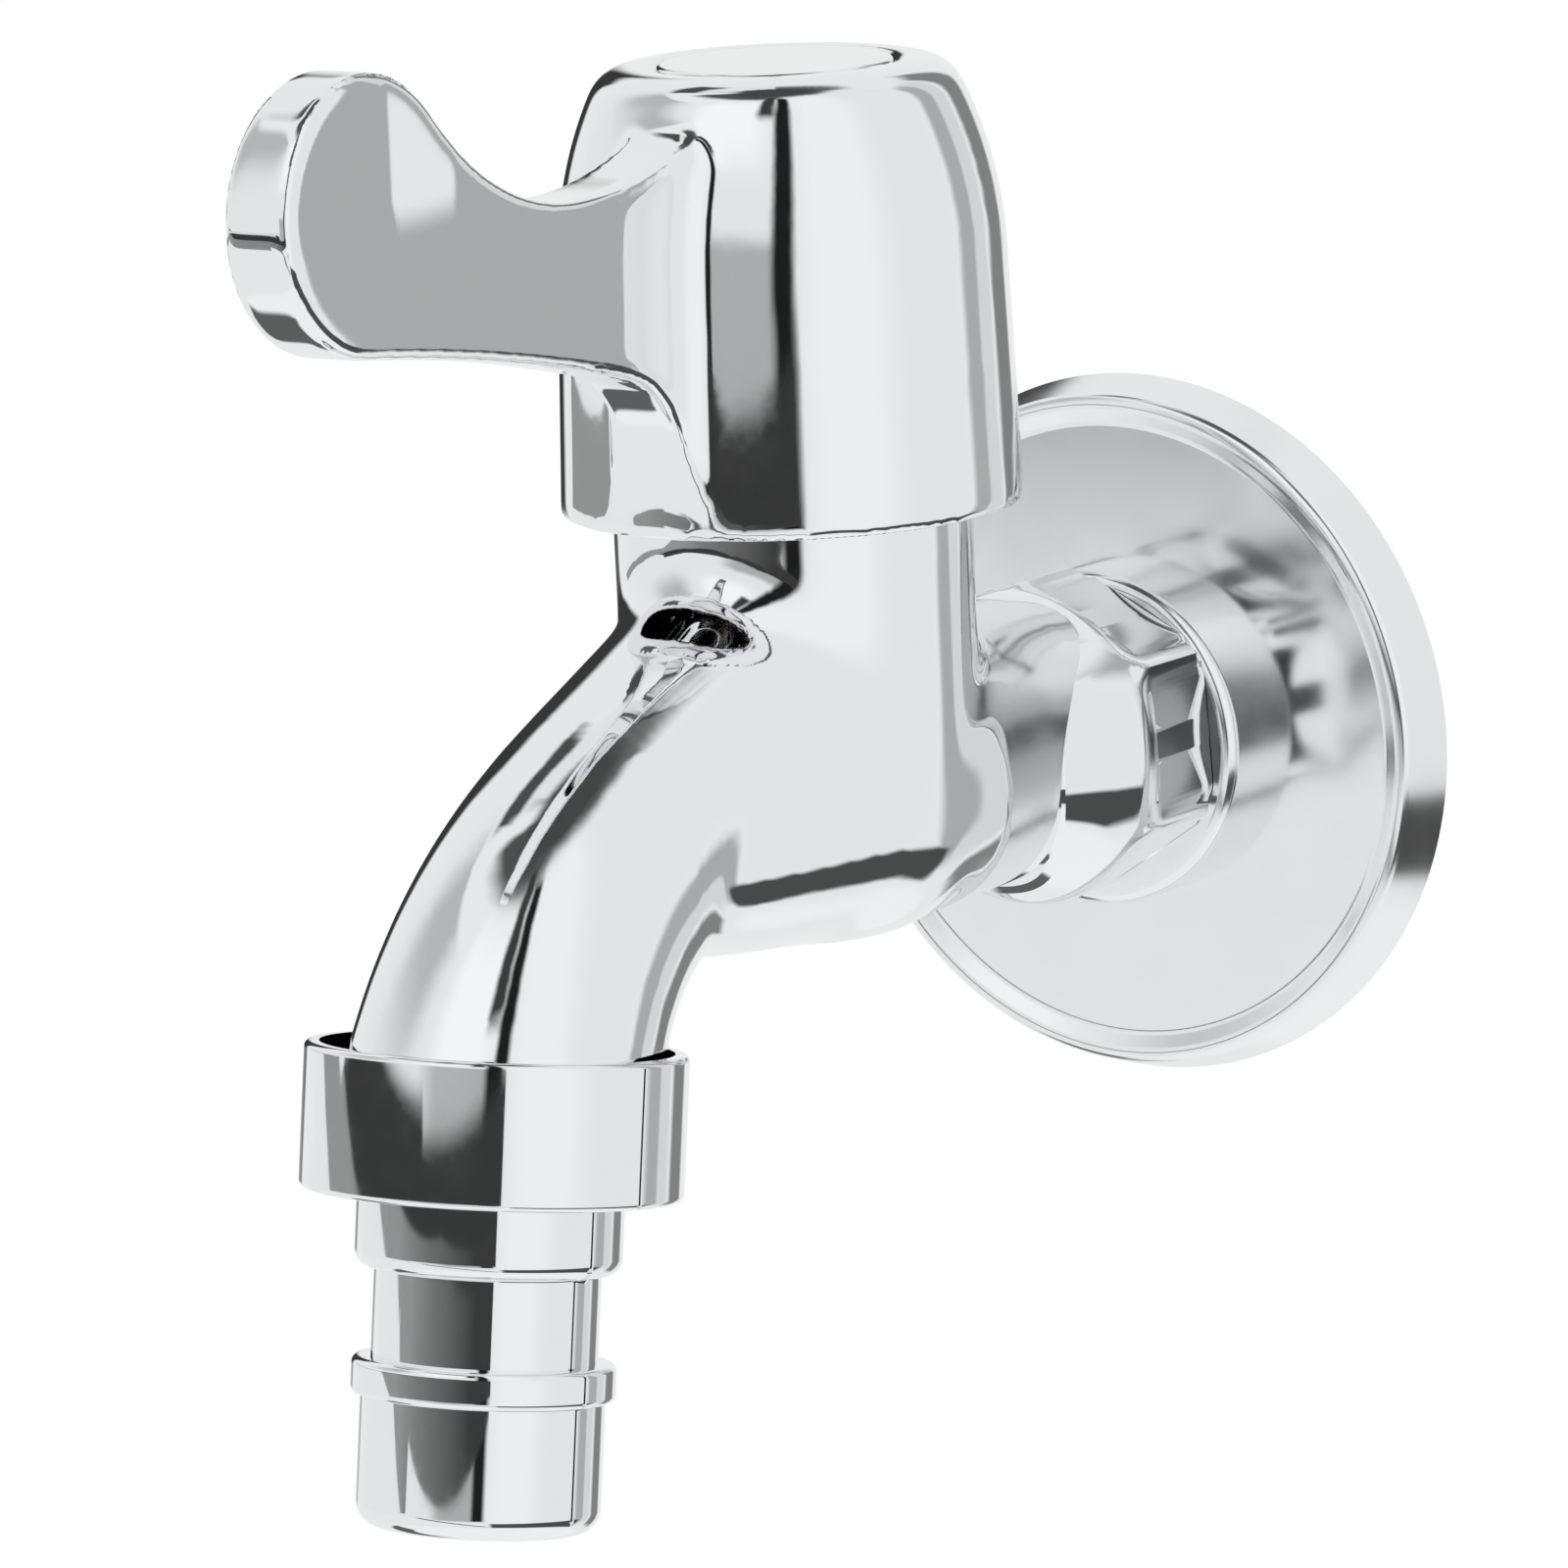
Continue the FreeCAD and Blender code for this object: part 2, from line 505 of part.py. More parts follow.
def lofted(body, name, sections, kind):
    loft = body.newObject("PartDesign::" + kind, name)
    loft.Profile = sections[0]
    loft.Sections = sections[1:]
    doc.recompute()
    return loft


def hexagon(body, name, plane, flats, lift=None, turn_degrees=0.0, at=None):
    """A hexagon of a given size across its flats, with its middle on the plane's origin."""
    sketch = new_sketch(body, name, plane, lift=lift, at=at)
    corner = flats / math.sqrt(3)
    steps = []
    for k in range(6):
        angle = math.radians(60 * k + turn_degrees)
        steps.append((corner * math.cos(angle), corner * math.sin(angle)))
    outline(sketch, steps)
    return sketch


def filleted(body, name, base, radius, test):
    """Rounds the edges of a feature that pass a test."""
    names = [f"Edge{k + 1}" for k, edge in enumerate(base.Shape.Edges) if test(edge)]
    if not names:
        raise ValueError(f"{name} finds no edge")
    feature = body.newObject("PartDesign::Fillet", name)
    feature.Base = (base, names)
    feature.Radius = radius.number
    bind(feature, "Radius", radius)
    doc.recompute()
    return feature


def middle(edge):
    return edge.valueAt((edge.FirstParameter + edge.LastParameter) / 2)


def sector(sketch, inner, outer, start, end):
    """A piece of a ring between two angles in degrees, less than half a turn."""
    outline(sketch, [
        (inner * cosine(start), inner * sine(start)),
        (outer * cosine(start), outer * sine(start), outer, "left"),
        (outer * cosine(end), outer * sine(end)),
        (inner * cosine(end), inner * sine(end), inner, "right"),
    ])


def rectangle(sketch, left, right, low, high):
    outline(sketch, [(left, low), (right, low), (right, high), (left, high)])


def repeated(body, name, feature, sketch):
    """Repeats a groove or a rib for every spline."""
    pattern = body.newObject("PartDesign::PolarPattern", name)
    pattern.Originals = [feature]
    pattern.Axis = (sketch, ["N_Axis"])
    pattern.Angle = 360
    pattern.Occurrences = int(spline_count.number)
    bind(pattern, "Occurrences", spline_count)
    body.Tip = pattern
    doc.recompute()


def tap_body():
    """Barrel, spout, inlet and outlet thread, cast in one piece."""
    body = new_body("tap_body", y=valve_y)
    turned(body, "barrel", [
        (ZERO, -barrel_depth),
        (neck_radius - bottom_rounding, -barrel_depth, bottom_rounding, "left"),
        (neck_radius, bottom_rounding - barrel_depth),
        (neck_radius, barrel_top),
        (ZERO, barrel_top),
    ])
    stations = spout_stations()
    sections = [section_circle(body, f"spout_section_{k}", *s) for k, s in enumerate(stations)]
    lofted(body, "spout", sections, "AdditiveLoft")
    ring_rear = barrel_reach - flange_boss_height - face_gap
    hex_rear = ring_rear - seat_ring_length
    hex_front = hex_rear - hex_length
    swell_front = hex_front - swell_length
    thread_end = barrel_reach + inlet_thread_length
    inlet = turned(body, "inlet", [
        (ZERO, ZERO),
        (thread_end, ZERO),
        (thread_end, inlet_thread_radius - thread_chamfer),
        (thread_end - thread_chamfer, inlet_thread_radius),
        (barrel_reach, inlet_thread_radius),
        (barrel_reach, inlet_shank_radius),
        (ring_rear, inlet_shank_radius),
        (ring_rear, seat_ring_radius),
        (hex_front, seat_ring_radius),
        (hex_front, swell_radius),
        (swell_front + swell_rounding, swell_radius, swell_rounding, "left"),
        (swell_front, swell_radius - swell_rounding),
        (swell_front, inlet_neck_radius),
        (ZERO, inlet_neck_radius),
    ], plane="YZ_Plane", axis="H_Axis")

    def joins_barrel(edge):
        at = middle(edge)
        curved = edge.Curve.TypeId == "Part::GeomBSplineCurve"
        return curved and abs(at.y) < neck_radius.number + inlet_fillet.number

    spout_joint = filleted(body, "spout_fillets", inlet, spout_fillet,
                           lambda edge: joins_barrel(edge) and middle(edge).y < 0)
    filleted(body, "inlet_fillets", spout_joint, inlet_fillet,
             lambda edge: joins_barrel(edge) and middle(edge).y > inlet_fillet.number)
    hexagon_sketch = hexagon(body, "spanner_hexagon", "XZ_Plane", hex_flats, lift=-hex_rear, turn_degrees=90)
    extruded(body, "spanner_flats", hexagon_sketch, hex_length)
    past_corners = hex_flats
    turned(body, "turned_corners", [
        (hex_front, hex_end_radius),
        (hex_front, past_corners),
        (hex_rear, past_corners),
        (hex_rear, hex_end_radius),
        (hex_rear - hex_end_slope, hex_turned_radius),
        (hex_front + hex_end_slope, hex_turned_radius),
    ], kind="Groove", plane="YZ_Plane", axis="H_Axis")
    thread_top = along_nozzle(outlet_thread_start, ZERO)
    thread = section_circle(body, "outlet_thread_circle", thread_top[0], thread_top[1], 90 - nozzle_lean,
                            outlet_thread_radius)
    extruded(body, "outlet_thread", thread, outlet_end - outlet_thread_start)
    turned(body, "valve_chamber", [
        (ZERO, seat_height),
        (chamber_radius, seat_height),
        (chamber_radius, valve_thread_start),
        (valve_thread_radius, valve_thread_start),
        (valve_thread_radius, barrel_top + thread_chamfer),
        (ZERO, barrel_top + thread_chamfer),
    ], kind="Groove")
    hole = box_steps(ZERO, seat_hole_radius, ZERO, seat_height + cut_margin)
    turned(body, "seat_hole", hole, kind="Groove")
    turned(body, "inlet_bore", [
        (-inlet_blind_depth, ZERO),
        (thread_end + thread_chamfer, ZERO),
        (thread_end + thread_chamfer, inlet_bore_radius),
        (-inlet_blind_depth, inlet_bore_radius),
    ], kind="Groove", plane="YZ_Plane", axis="H_Axis")
    throat = along_nozzle(throat_depth, throat_offset)
    end = along_nozzle(end_depth, ZERO)
    mouth = along_nozzle(outlet_end + thread_chamfer, ZERO)
    upright = 90 - nozzle_lean
    way = [
        (port_reach, port_height, root_lean, port_radius),
        (upper_reach, upper_height + way_rise, upper_lean, way_upper_radius),
        (middle_reach, middle_height, middle_lean, way_middle_radius),
        (lower_reach, lower_height, lower_lean, way_lower_radius),
        (bend_reach, bend_height, bend_lean, way_bend_radius),
        (throat[0], throat[1], throat_lean, outlet_bore_radius),
        (end[0], end[1], upright, outlet_bore_radius),
        (mouth[0], mouth[1], upright, outlet_bore_radius),
    ]
    sections = [section_circle(body, f"way_section_{k}", *s) for k, s in enumerate(way)]
    lofted(body, "water_way", sections, "SubtractiveLoft")
    return body


def wall_flange():
    """A dished cover with a raised boss, which the inlet's ring presses to the wall."""
    body = new_body("wall_flange", z=-flange_drop)
    hole = inlet_shank_radius + flange_drop + face_gap
    back = flange_face - flange_wall
    boss_back = flange_boss_height - flange_wall
    inner_rim = flange_rim_radius - flange_rim_width
    turned(body, "dish", [
        (ZERO, flange_radius),
        (flange_rim_rounding - flange_rim_height, flange_rim_radius, flange_rim_rounding, "left"),
        (-flange_rim_height, flange_rim_radius - flange_rim_rounding),
        (-flange_rim_height, inner_rim + flange_rim_rounding),
        (-flange_face, inner_rim - flange_rim_rounding),
        (-flange_face, flange_boss_radius),
        (flange_boss_rounding - flange_boss_height, flange_boss_radius, flange_boss_rounding, "left"),
        (-flange_boss_height, flange_boss_radius - flange_boss_rounding),
        (-flange_boss_height, hole),
        (-boss_back, hole),
        (-boss_back, flange_boss_radius - flange_wall),
        (-back, flange_boss_radius - flange_wall),
        (-back, flange_rim_radius - flange_wall - flange_rim_rounding),
        (ZERO, flange_radius - flange_wall),
    ], plane="YZ_Plane", axis="H_Axis")
    return body


def hose_nozzle():
    """Nut ring and stepped hose tail, moulded in one piece."""
    body = new_body("hose_nozzle", y=nozzle_y, z=-nozzle_drop, tilt=-nozzle_lean)
    thread = outlet_thread_radius + nut_thread_play
    floor = nut_length - nut_floor
    turned(body, "nozzle", [
        (nut_mouth_radius, ZERO),
        (nut_radius - nut_rounding, ZERO, nut_rounding, "right"),
        (nut_radius, -nut_rounding),
        (nut_radius, nut_rounding - nut_length, nut_rounding, "right"),
        (nut_radius - nut_rounding, -nut_length),
        (step_radius, -nut_length),
        (step_radius, step_rounding - step_end, step_rounding, "right"),
        (step_radius - step_rounding, -step_end),
        (waist_radius, -step_end),
        (waist_radius, -waist_end),
        (bead_radius - bead_rounding, -waist_end, bead_rounding, "right"),
        (bead_radius, -waist_end - bead_rounding),
        (bead_radius, bead_rounding - bead_end, bead_rounding, "right"),
        (bead_radius - bead_rounding, -bead_end),
        (tail_radius, -bead_end),
        (tail_radius, tail_rounding - nozzle_length, tail_rounding, "right"),
        (tail_radius - tail_rounding, -nozzle_length),
        (nozzle_bore_radius, -nozzle_length),
        (nozzle_bore_radius, -floor),
        (thread, -floor),
        (thread, -nut_mouth_depth),
        (nut_mouth_radius, -nut_mouth_depth),
    ])
    return body


def ring(name, inner, outer, low, high, y=valve_y, z=None, tilt=None):
    """A flat ring about a piece's axis."""
    body = new_body(name, y=y, z=z, tilt=tilt)
    turned(body, name + "_ring", box_steps(inner, outer, low, high))
    return body


def nozzle_washer():
    """Flat rubber washer between the outlet and the floor of the nut."""
    high = outlet_end + face_gap
    low = nut_length - nut_floor - face_gap
    return ring("nozzle_washer", washer_hole_radius, washer_radius, -low, -high,
                y=nozzle_y, z=-nozzle_drop, tilt=-nozzle_lean)


def shoulder_points():
    """Where the shoulder's arc ends and where the flat top starts: radius and height of each."""
    # The shoulder's arc starts in line with the tapered wall, so its centre lies square to that wall.
    taper = rim_radius - shoulder_radius
    wall = shoulder_height - rim_height
    slope_length = root(taper * taper + wall * wall)
    centre_radius = shoulder_radius - shoulder_curve * wall / slope_length
    centre_height = shoulder_height - shoulder_curve * taper / slope_length
    rise = (hood_top - top_curve - centre_height) / (shoulder_curve - top_curve)
    run = root(1 - rise * rise)
    end = (centre_radius + shoulder_curve * run, centre_height + shoulder_curve * rise)
    flat = (centre_radius + (shoulder_curve - top_curve) * run, hood_top)
    return end, flat


def hood_outline():
    end, flat = shoulder_points()
    return [
        (ZERO, rim_height),
        (rim_radius, rim_height),
        (shoulder_radius, shoulder_height, shoulder_curve, "left"),
        (end[0], end[1], top_curve, "left"),
        (flat[0], flat[1]),
        (ZERO, hood_top),
    ]


def lever_side(sketch):
    """Side view of the lever: finger lobe, under edge and cove, and the upper edge that sinks to a saddle."""
    across = lobe_reach - saddle_reach
    rise = lobe_height - saddle_height
    # The saddle's arc touches the lobe, so its radius follows from where the two of them lie.
    saddle_curve = (across * across + rise * rise - lobe_radius * lobe_radius) / (2 * (lobe_radius + rise))
    reach = lobe_radius + saddle_curve
    touch_y = -lobe_reach + across * lobe_radius / reach
    touch_z = lobe_height + (saddle_height + saddle_curve - lobe_height) * lobe_radius / reach
    climb = saddle_reach - lever_root_reach
    lift = saddle_rise_curve - root(saddle_rise_curve * saddle_rise_curve - climb * climb)
    outline(sketch, [
        (touch_y, touch_z, lobe_radius, "left"),
        (-lobe_reach - lobe_radius, lobe_height, lobe_radius, "left"),
        (-lobe_reach - lobe_radius * sine(under_lean), lobe_height - lobe_radius * cosine(under_lean),
         under_curve, "right"),
        (-cove_reach, cove_height),
        (-cove_reach, rim_height),
        (-lever_root_reach, rim_height),
        (-lever_root_reach, saddle_height + lift, saddle_rise_curve, "right"),
        (-saddle_reach, saddle_height, saddle_curve, "right"),
    ])


def lever_handle():
    """Hood and lever, moulded in one piece, with a hub for the spindle inside."""
    body = new_body("lever_handle", y=valve_y)
    side = new_sketch(body, "lever_side", "YZ_Plane")
    lever_side(side)
    lever = extruded(body, "lever", side, lever_thickness, middle=True)

    def rims_lever(edge):
        at = middle(edge)
        beside_lever = abs(abs(at.x) - lever_thickness.number / 2) < 0.001
        return beside_lever and edge.Curve.TypeId == "Part::GeomCircle"

    filleted(body, "lever_edges", lever, lever_edge, rims_lever)
    solid = turned(body, "hood", hood_outline())

    def meets_hood(edge):
        at = middle(edge)
        on_hood = lever_root_reach.number < math.hypot(at.x, at.y) < rim_radius.number + lever_edge.number
        return on_hood and edge.Curve.TypeId in ("Part::GeomHyperbola", "Part::GeomBSplineCurve")

    filleted(body, "root_fillets", solid, flank_fillet, meets_hood)
    cove = new_sketch(body, "cove_outline", "YZ_Plane")
    outline(cove, [
        (-cove_reach, cove_height, cove_curve, "right"),
        (-cove_foot_reach, cove_foot_height),
        (-cove_rim_reach, rim_height),
        (-cove_rim_reach, rim_height - cut_margin),
        (-cove_reach - cut_margin, rim_height - cut_margin),
    ])
    extruded(body, "cove", cove, 2 * rim_radius, kind="Pocket", middle=True)
    turned(body, "hood_wall", hood_outline())
    roof_low = hood_top - hood_roof
    turned(body, "hollow", [
        (ZERO, rim_height),
        (rim_radius - hood_wall, rim_height),
        (shoulder_radius - hood_wall, shoulder_height),
        (cavity_top_radius, roof_low),
        (hub_radius, roof_low),
        (hub_radius, hub_low),
        (ZERO, hub_low),
    ], kind="Groove")
    socket = hexagon(body, "bush_socket_hexagon", "XY_Plane", bush_flats + 2 * bush_play, lift=web_low)
    extruded(body, "bush_socket", socket, web_low - hub_low + cut_margin, kind="Pocket")
    turned(body, "screw_well", [
        (ZERO, web_low - cut_margin),
        (screw_radius + screw_play, web_low - cut_margin),
        (screw_radius + screw_play, web_high),
        (cap_skirt_radius + face_gap, web_high),
        (cap_skirt_radius + face_gap, cap_low - face_gap),
        (cap_radius + cap_play, cap_low - face_gap),
        (cap_radius + cap_play, hood_top + cut_margin),
        (ZERO, hood_top + cut_margin),
    ], kind="Groove")
    return body


def index_cap():
    """Plain round cap over the handle screw, held by a skirt."""
    body = new_body("index_cap", y=valve_y)
    skirt_low = cap_low - cap_skirt_length
    turned(body, "cap", [
        (ZERO, cap_low),
        (cap_skirt_radius - cap_skirt_wall, cap_low),
        (cap_skirt_radius - cap_skirt_wall, skirt_low),
        (cap_skirt_radius, skirt_low),
        (cap_skirt_radius, cap_low),
        (cap_radius, cap_low),
        (cap_radius, hood_top - cap_edge),
        (cap_radius - cap_edge, hood_top),
        (ZERO, hood_top),
    ])
    return body


def valve_bonnet():
    """Headwork housing: sleeve around the discs, thread, flange, hexagon and nose."""
    body = new_body("valve_bonnet", y=valve_y)
    thread = valve_thread_radius - bonnet_play
    sleeve_low = seat_height + sleeve_gap
    turned(body, "housing", [
        (ZERO, sleeve_low),
        (bonnet_sleeve_radius, sleeve_low),
        (bonnet_sleeve_radius, valve_thread_start),
        (thread, valve_thread_start + thread - bonnet_sleeve_radius),
        (thread, bonnet_flange_low),
        (bonnet_flange_radius, bonnet_flange_low),
        (bonnet_flange_radius, bonnet_flange_high),
        (bonnet_nose_radius, bonnet_flange_high),
        (bonnet_nose_radius, bonnet_nose_top - bonnet_chamfer),
        (bonnet_nose_radius - bonnet_chamfer, bonnet_nose_top),
        (ZERO, bonnet_nose_top),
    ])
    flats = hexagon(body, "bonnet_hexagon", "XY_Plane", bonnet_hex_flats, lift=bonnet_flange_high)
    extruded(body, "bonnet_flats", flats, bonnet_hex_length)
    shoulder = slip_high + face_gap
    bore = spindle_radius + spindle_play
    turned(body, "bore", [
        (ZERO, sleeve_low - cut_margin),
        (bonnet_inside_radius, sleeve_low - cut_margin),
        (bonnet_inside_radius, shoulder),
        (bore, shoulder),
        (bore, bonnet_nose_top + cut_margin),
        (ZERO, bonnet_nose_top + cut_margin),
    ], kind="Groove")
    past_sleeve = bonnet_sleeve_radius + cut_margin
    windows = new_sketch(body, "window_outline", "XZ_Plane")
    rectangle(windows, -window_width / 2, window_width / 2, moving_disc_high, thrust_low)
    extruded(body, "windows", windows, 2 * past_sleeve, kind="Pocket", middle=True)
    ear_half = disc_ear_width / 2 + tongue_play
    ears = new_sketch(body, "ear_slot_outline", "XY_Plane", lift=fixed_disc_high)
    rectangle(ears, -past_sleeve, past_sleeve, -ear_half, ear_half)
    extruded(body, "ear_slots", ears, fixed_disc_high - sleeve_low + cut_margin, kind="Pocket")
    rib = new_sketch(body, "stop_rib_outline", "XY_Plane", lift=thrust_low)
    wall_middle = (bonnet_inside_radius + bonnet_sleeve_radius) / 2
    sector(rib, stop_radius, wall_middle, -stop_half_angle, stop_half_angle)
    extruded(body, "stop_rib", rib, shoulder - thrust_low)
    return body


def bonnet_gasket():
    """Flat gasket between the barrel's rim and the headwork's flange."""
    return ring("bonnet_gasket", valve_thread_radius, gasket_radius, gasket_low, gasket_high)


def oring_middle():
    """Middle of an O ring's section, measured from the spindle's axis."""
    return spindle_radius + spindle_play - oring_gap - oring_wire / 2


def oring_groove(height):
    """The four corners of an O ring's groove in the stem."""
    floor = oring_middle() - oring_wire / 2 - face_gap
    half = oring_wire / 2 + oring_groove_ease
    return [
        (spindle_radius, height - half),
        (floor, height - half),
        (floor, height + half),
        (spindle_radius, height + half),
    ]


def spindle():
    """Stem with thrust collar and tongue below, O ring grooves, circlip groove and splines."""
    body = new_body("spindle", y=valve_y)
    circlip_floor = spindle_radius - circlip_groove_depth
    turned(body, "stem", [
        (ZERO, thrust_low),
        (thrust_collar_radius, thrust_low),
        (thrust_collar_radius, thrust_high),
        (spindle_radius, thrust_high),
    ] + oring_groove(oring_lower_height) + oring_groove(oring_upper_height) + [
        (spindle_radius, circlip_low - face_gap),
        (circlip_floor, circlip_low - face_gap),
        (circlip_floor, circlip_high + face_gap),
        (spindle_radius, circlip_high + face_gap),
        (spindle_radius, spline_low),
        (spline_radius, spline_low),
        (spline_radius, spindle_top - spline_depth),
        (spline_radius - spline_depth, spindle_top),
        (ZERO, spindle_top),
    ])
    tongue = new_sketch(body, "tongue_outline", "XY_Plane", lift=thrust_low)
    half = disc_slot_width / 2 - tongue_play
    rectangle(tongue, -half, half, -tongue_length / 2, tongue_length / 2)
    reach = flow_gap + disc_slot_depth - tongue_play
    extruded(body, "tongue", tongue, reach, reverse=True)
    notch = new_sketch(body, "stop_notch_outline", "XY_Plane", lift=thrust_high + cut_margin)
    swing = stop_half_angle + stop_ease
    sector(notch, stop_radius - stop_depth, thrust_collar_radius + cut_margin, -swing - quarter_turn, swing)
    extruded(body, "stop_notch", notch, thrust_collar_thickness + 2 * cut_margin, kind="Pocket")
    turned(body, "screw_hole", box_steps(
        ZERO, screw_radius + face_gap, screw_seat - screw_length - cut_margin, spindle_top + cut_margin,
    ), kind="Groove")
    groove = new_sketch(body, "spline_groove_outline", "XY_Plane", lift=spindle_top + cut_margin)
    mouth = spline_width / 2 / spline_depth * (spline_depth + spline_margin)
    outline(groove, [
        (spline_radius - spline_depth, ZERO),
        (spline_radius + spline_margin, mouth),
        (spline_radius + spline_margin, -mouth),
    ])
    first = extruded(body, "spline_groove", groove, spindle_top - spline_low + cut_margin, kind="Pocket")
    repeated(body, "spline_grooves", first, groove)
    return body


def oring(name, height):
    """An O ring of the spindle."""
    body = new_body(name, y=valve_y)
    sketch = new_sketch(body, name + "_section", "XZ_Plane")
    circle(sketch, oring_wire / 2, oring_middle(), height)
    feature = body.newObject("PartDesign::Revolution", name + "_ring")
    feature.Profile = sketch
    feature.ReferenceAxis = (sketch, ["V_Axis"])
    feature.Angle = 360
    doc.recompute()
    return body


def spindle_oring_lower():
    return oring("spindle_oring_lower", oring_lower_height)


def spindle_oring_upper():
    return oring("spindle_oring_upper", oring_upper_height)


def spindle_circlip():
    """Open spring ring that holds the spindle above the nose."""
    inner = spindle_radius - circlip_groove_depth + face_gap
    body = ring("spindle_circlip", inner, circlip_radius, circlip_low, circlip_high)
    opening = new_sketch(body, "circlip_opening_outline", "XY_Plane", lift=circlip_high + cut_margin)
    rectangle(opening, ZERO, circlip_radius + cut_margin, -circlip_gap / 2, circlip_gap / 2)
    extruded(body, "circlip_opening", opening, circlip_thickness + 2 * cut_margin, kind="Pocket")
    return body


def slip_washer():
    """Thin plastic washer that the thrust collar turns against."""
    return ring("slip_washer", spindle_radius + spindle_play, slip_radius, slip_low, slip_high)


def disc_blank(name, low, high):
    """A plain ceramic disc."""
    body = new_body(name, y=valve_y)
    turned(body, name + "_blank", box_steps(ZERO, disc_radius, low, high))
    return body


def disc_openings(body, name, high, start_degrees):
    """The two opposite openings of a ceramic disc."""
    for k in (0, 1):
        at = start_degrees + 180 * k
        sketch = new_sketch(body, f"{name}_outline_{k}", "XY_Plane", lift=high + cut_margin)
        sector(sketch, disc_port_inner, disc_port_radius, at - disc_port_angle, at + disc_port_angle)
        extruded(body, f"{name}_{k}", sketch, disc_thickness + 2 * cut_margin, kind="Pocket")


def moving_disc():
    """Upper ceramic disc, with a slot across its top; its openings lie crosswise when the tap is shut."""
    body = disc_blank("moving_disc", moving_disc_low, moving_disc_high)
    disc_openings(body, "moving_opening", moving_disc_high, 0)
    slot = new_sketch(body, "slot_outline", "XY_Plane", lift=moving_disc_high)
    past_disc = disc_radius + cut_margin
    rectangle(slot, -disc_slot_width / 2, disc_slot_width / 2, -past_disc, past_disc)
    extruded(body, "slot", slot, disc_slot_depth, kind="Pocket")
    return body


def fixed_disc():
    """Lower ceramic disc, with two ears in the sleeve's slots."""
    body = disc_blank("fixed_disc", fixed_disc_low, fixed_disc_high)
    ears = new_sketch(body, "ears_outline", "XY_Plane", lift=fixed_disc_low)
    ear_reach = bonnet_sleeve_radius - sleeve_gap
    rectangle(ears, -ear_reach, ear_reach, -disc_ear_width / 2, disc_ear_width / 2)
    extruded(body, "ears", ears, disc_thickness)
    disc_openings(body, "fixed_opening", fixed_disc_high, 90)
    return body


def seat_seal():
    """Rubber ring between the fixed disc and the seat."""
    inner = seat_seal_radius - seat_seal_width
    return ring("seat_seal", inner, seat_seal_radius, seat_height + face_gap, fixed_disc_low - face_gap)


def seat_support_ring():
    """Thin hard ring that keeps the seat seal round from inside."""
    outer = seat_seal_radius - seat_seal_width - face_gap
    low = seat_height + face_gap
    return ring("seat_support_ring", outer - support_ring_wall, outer, low, fixed_disc_low - face_gap)


def spline_bush():
    """Hexagonal bush in the hub, splined inside to fit the spindle."""
    body = new_body("spline_bush", y=valve_y)
    low = spline_low + face_gap
    high = web_low - face_gap
    flats = hexagon(body, "bush_hexagon", "XY_Plane", bush_flats, lift=low)
    extruded(body, "bush", flats, high - low)
    bore = spline_radius + spline_play
    turned(body, "bush_bore", box_steps(ZERO, bore, low - cut_margin, high + cut_margin), kind="Groove")
    rib = new_sketch(body, "rib_outline", "XY_Plane", lift=low)
    tip = spline_radius - spline_depth + 2 * spline_play
    base = bore + spline_margin
    half = spline_width / 2 / spline_depth * (base - tip)
    outline(rib, [(tip, ZERO), (base, half), (base, -half)])
    first = extruded(body, "rib", rib, high - low)
    repeated(body, "ribs", first, rib)
    return body


def handle_screw():
    """Screw through the web of the handle into the spindle, with a cross recess."""
    body = new_body("handle_screw", y=valve_y)
    tip = screw_seat - screw_length
    top = screw_seat + screw_head_height
    turned(body, "screw", [
        (ZERO, tip),
        (screw_radius - screw_chamfer, tip),
        (screw_radius, tip + screw_chamfer),
        (screw_radius, screw_seat),
        (screw_head_radius, screw_seat),
        (screw_head_radius, top - screw_chamfer),
        (screw_head_radius - screw_chamfer, top),
        (ZERO, top),
    ])
    for letter, along in (("a", True), ("b", False)):
        recess = new_sketch(body, f"recess_outline_{letter}", "XY_Plane", lift=top)
        half = screw_recess_length / 2 if along else screw_recess_width / 2
        side = screw_recess_width / 2 if along else screw_recess_length / 2
        rectangle(recess, -half, half, -side, side)
        extruded(body, f"recess_{letter}", recess, screw_recess_depth, kind="Pocket")
    return body


def screw_washer():
    """Plain washer under the screw's head."""
    low = web_high + face_gap
    return ring("screw_washer", screw_radius + screw_play, screw_washer_radius, low, screw_seat - face_gap)


PIECES = [
    tap_body, wall_flange, hose_nozzle, nozzle_washer, lever_handle, index_cap, valve_bonnet, bonnet_gasket,
    spindle, spindle_oring_lower, spindle_oring_upper, spindle_circlip, slip_washer, moving_disc, fixed_disc,
    seat_seal, seat_support_ring, spline_bush, handle_screw, screw_washer,
]


def main():
    os.makedirs("parts", exist_ok=True)
    bodies = [make() for make in PIECES]
    doc.recompute()
    for thing in doc.Objects:
        if "Invalid" in thing.State or "Error" in thing.State:
            raise RuntimeError(f"{thing.Name} isn't built: {thing.State}")
    for body in bodies:
        shape = body.Shape
        if shape.isNull() or not shape.isValid() or len(shape.Solids) != 1:
            raise RuntimeError(f"{body.Name} isn't one valid solid")
        shape.exportStep(f"parts/{body.Name}.step")


main()
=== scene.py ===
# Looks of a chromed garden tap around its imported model. Metres, +Z up, the wall is the plane y = 0 and the
# tap's front faces -Y. Sizes in the outlines below are millimetres, as on a maker's drawing.

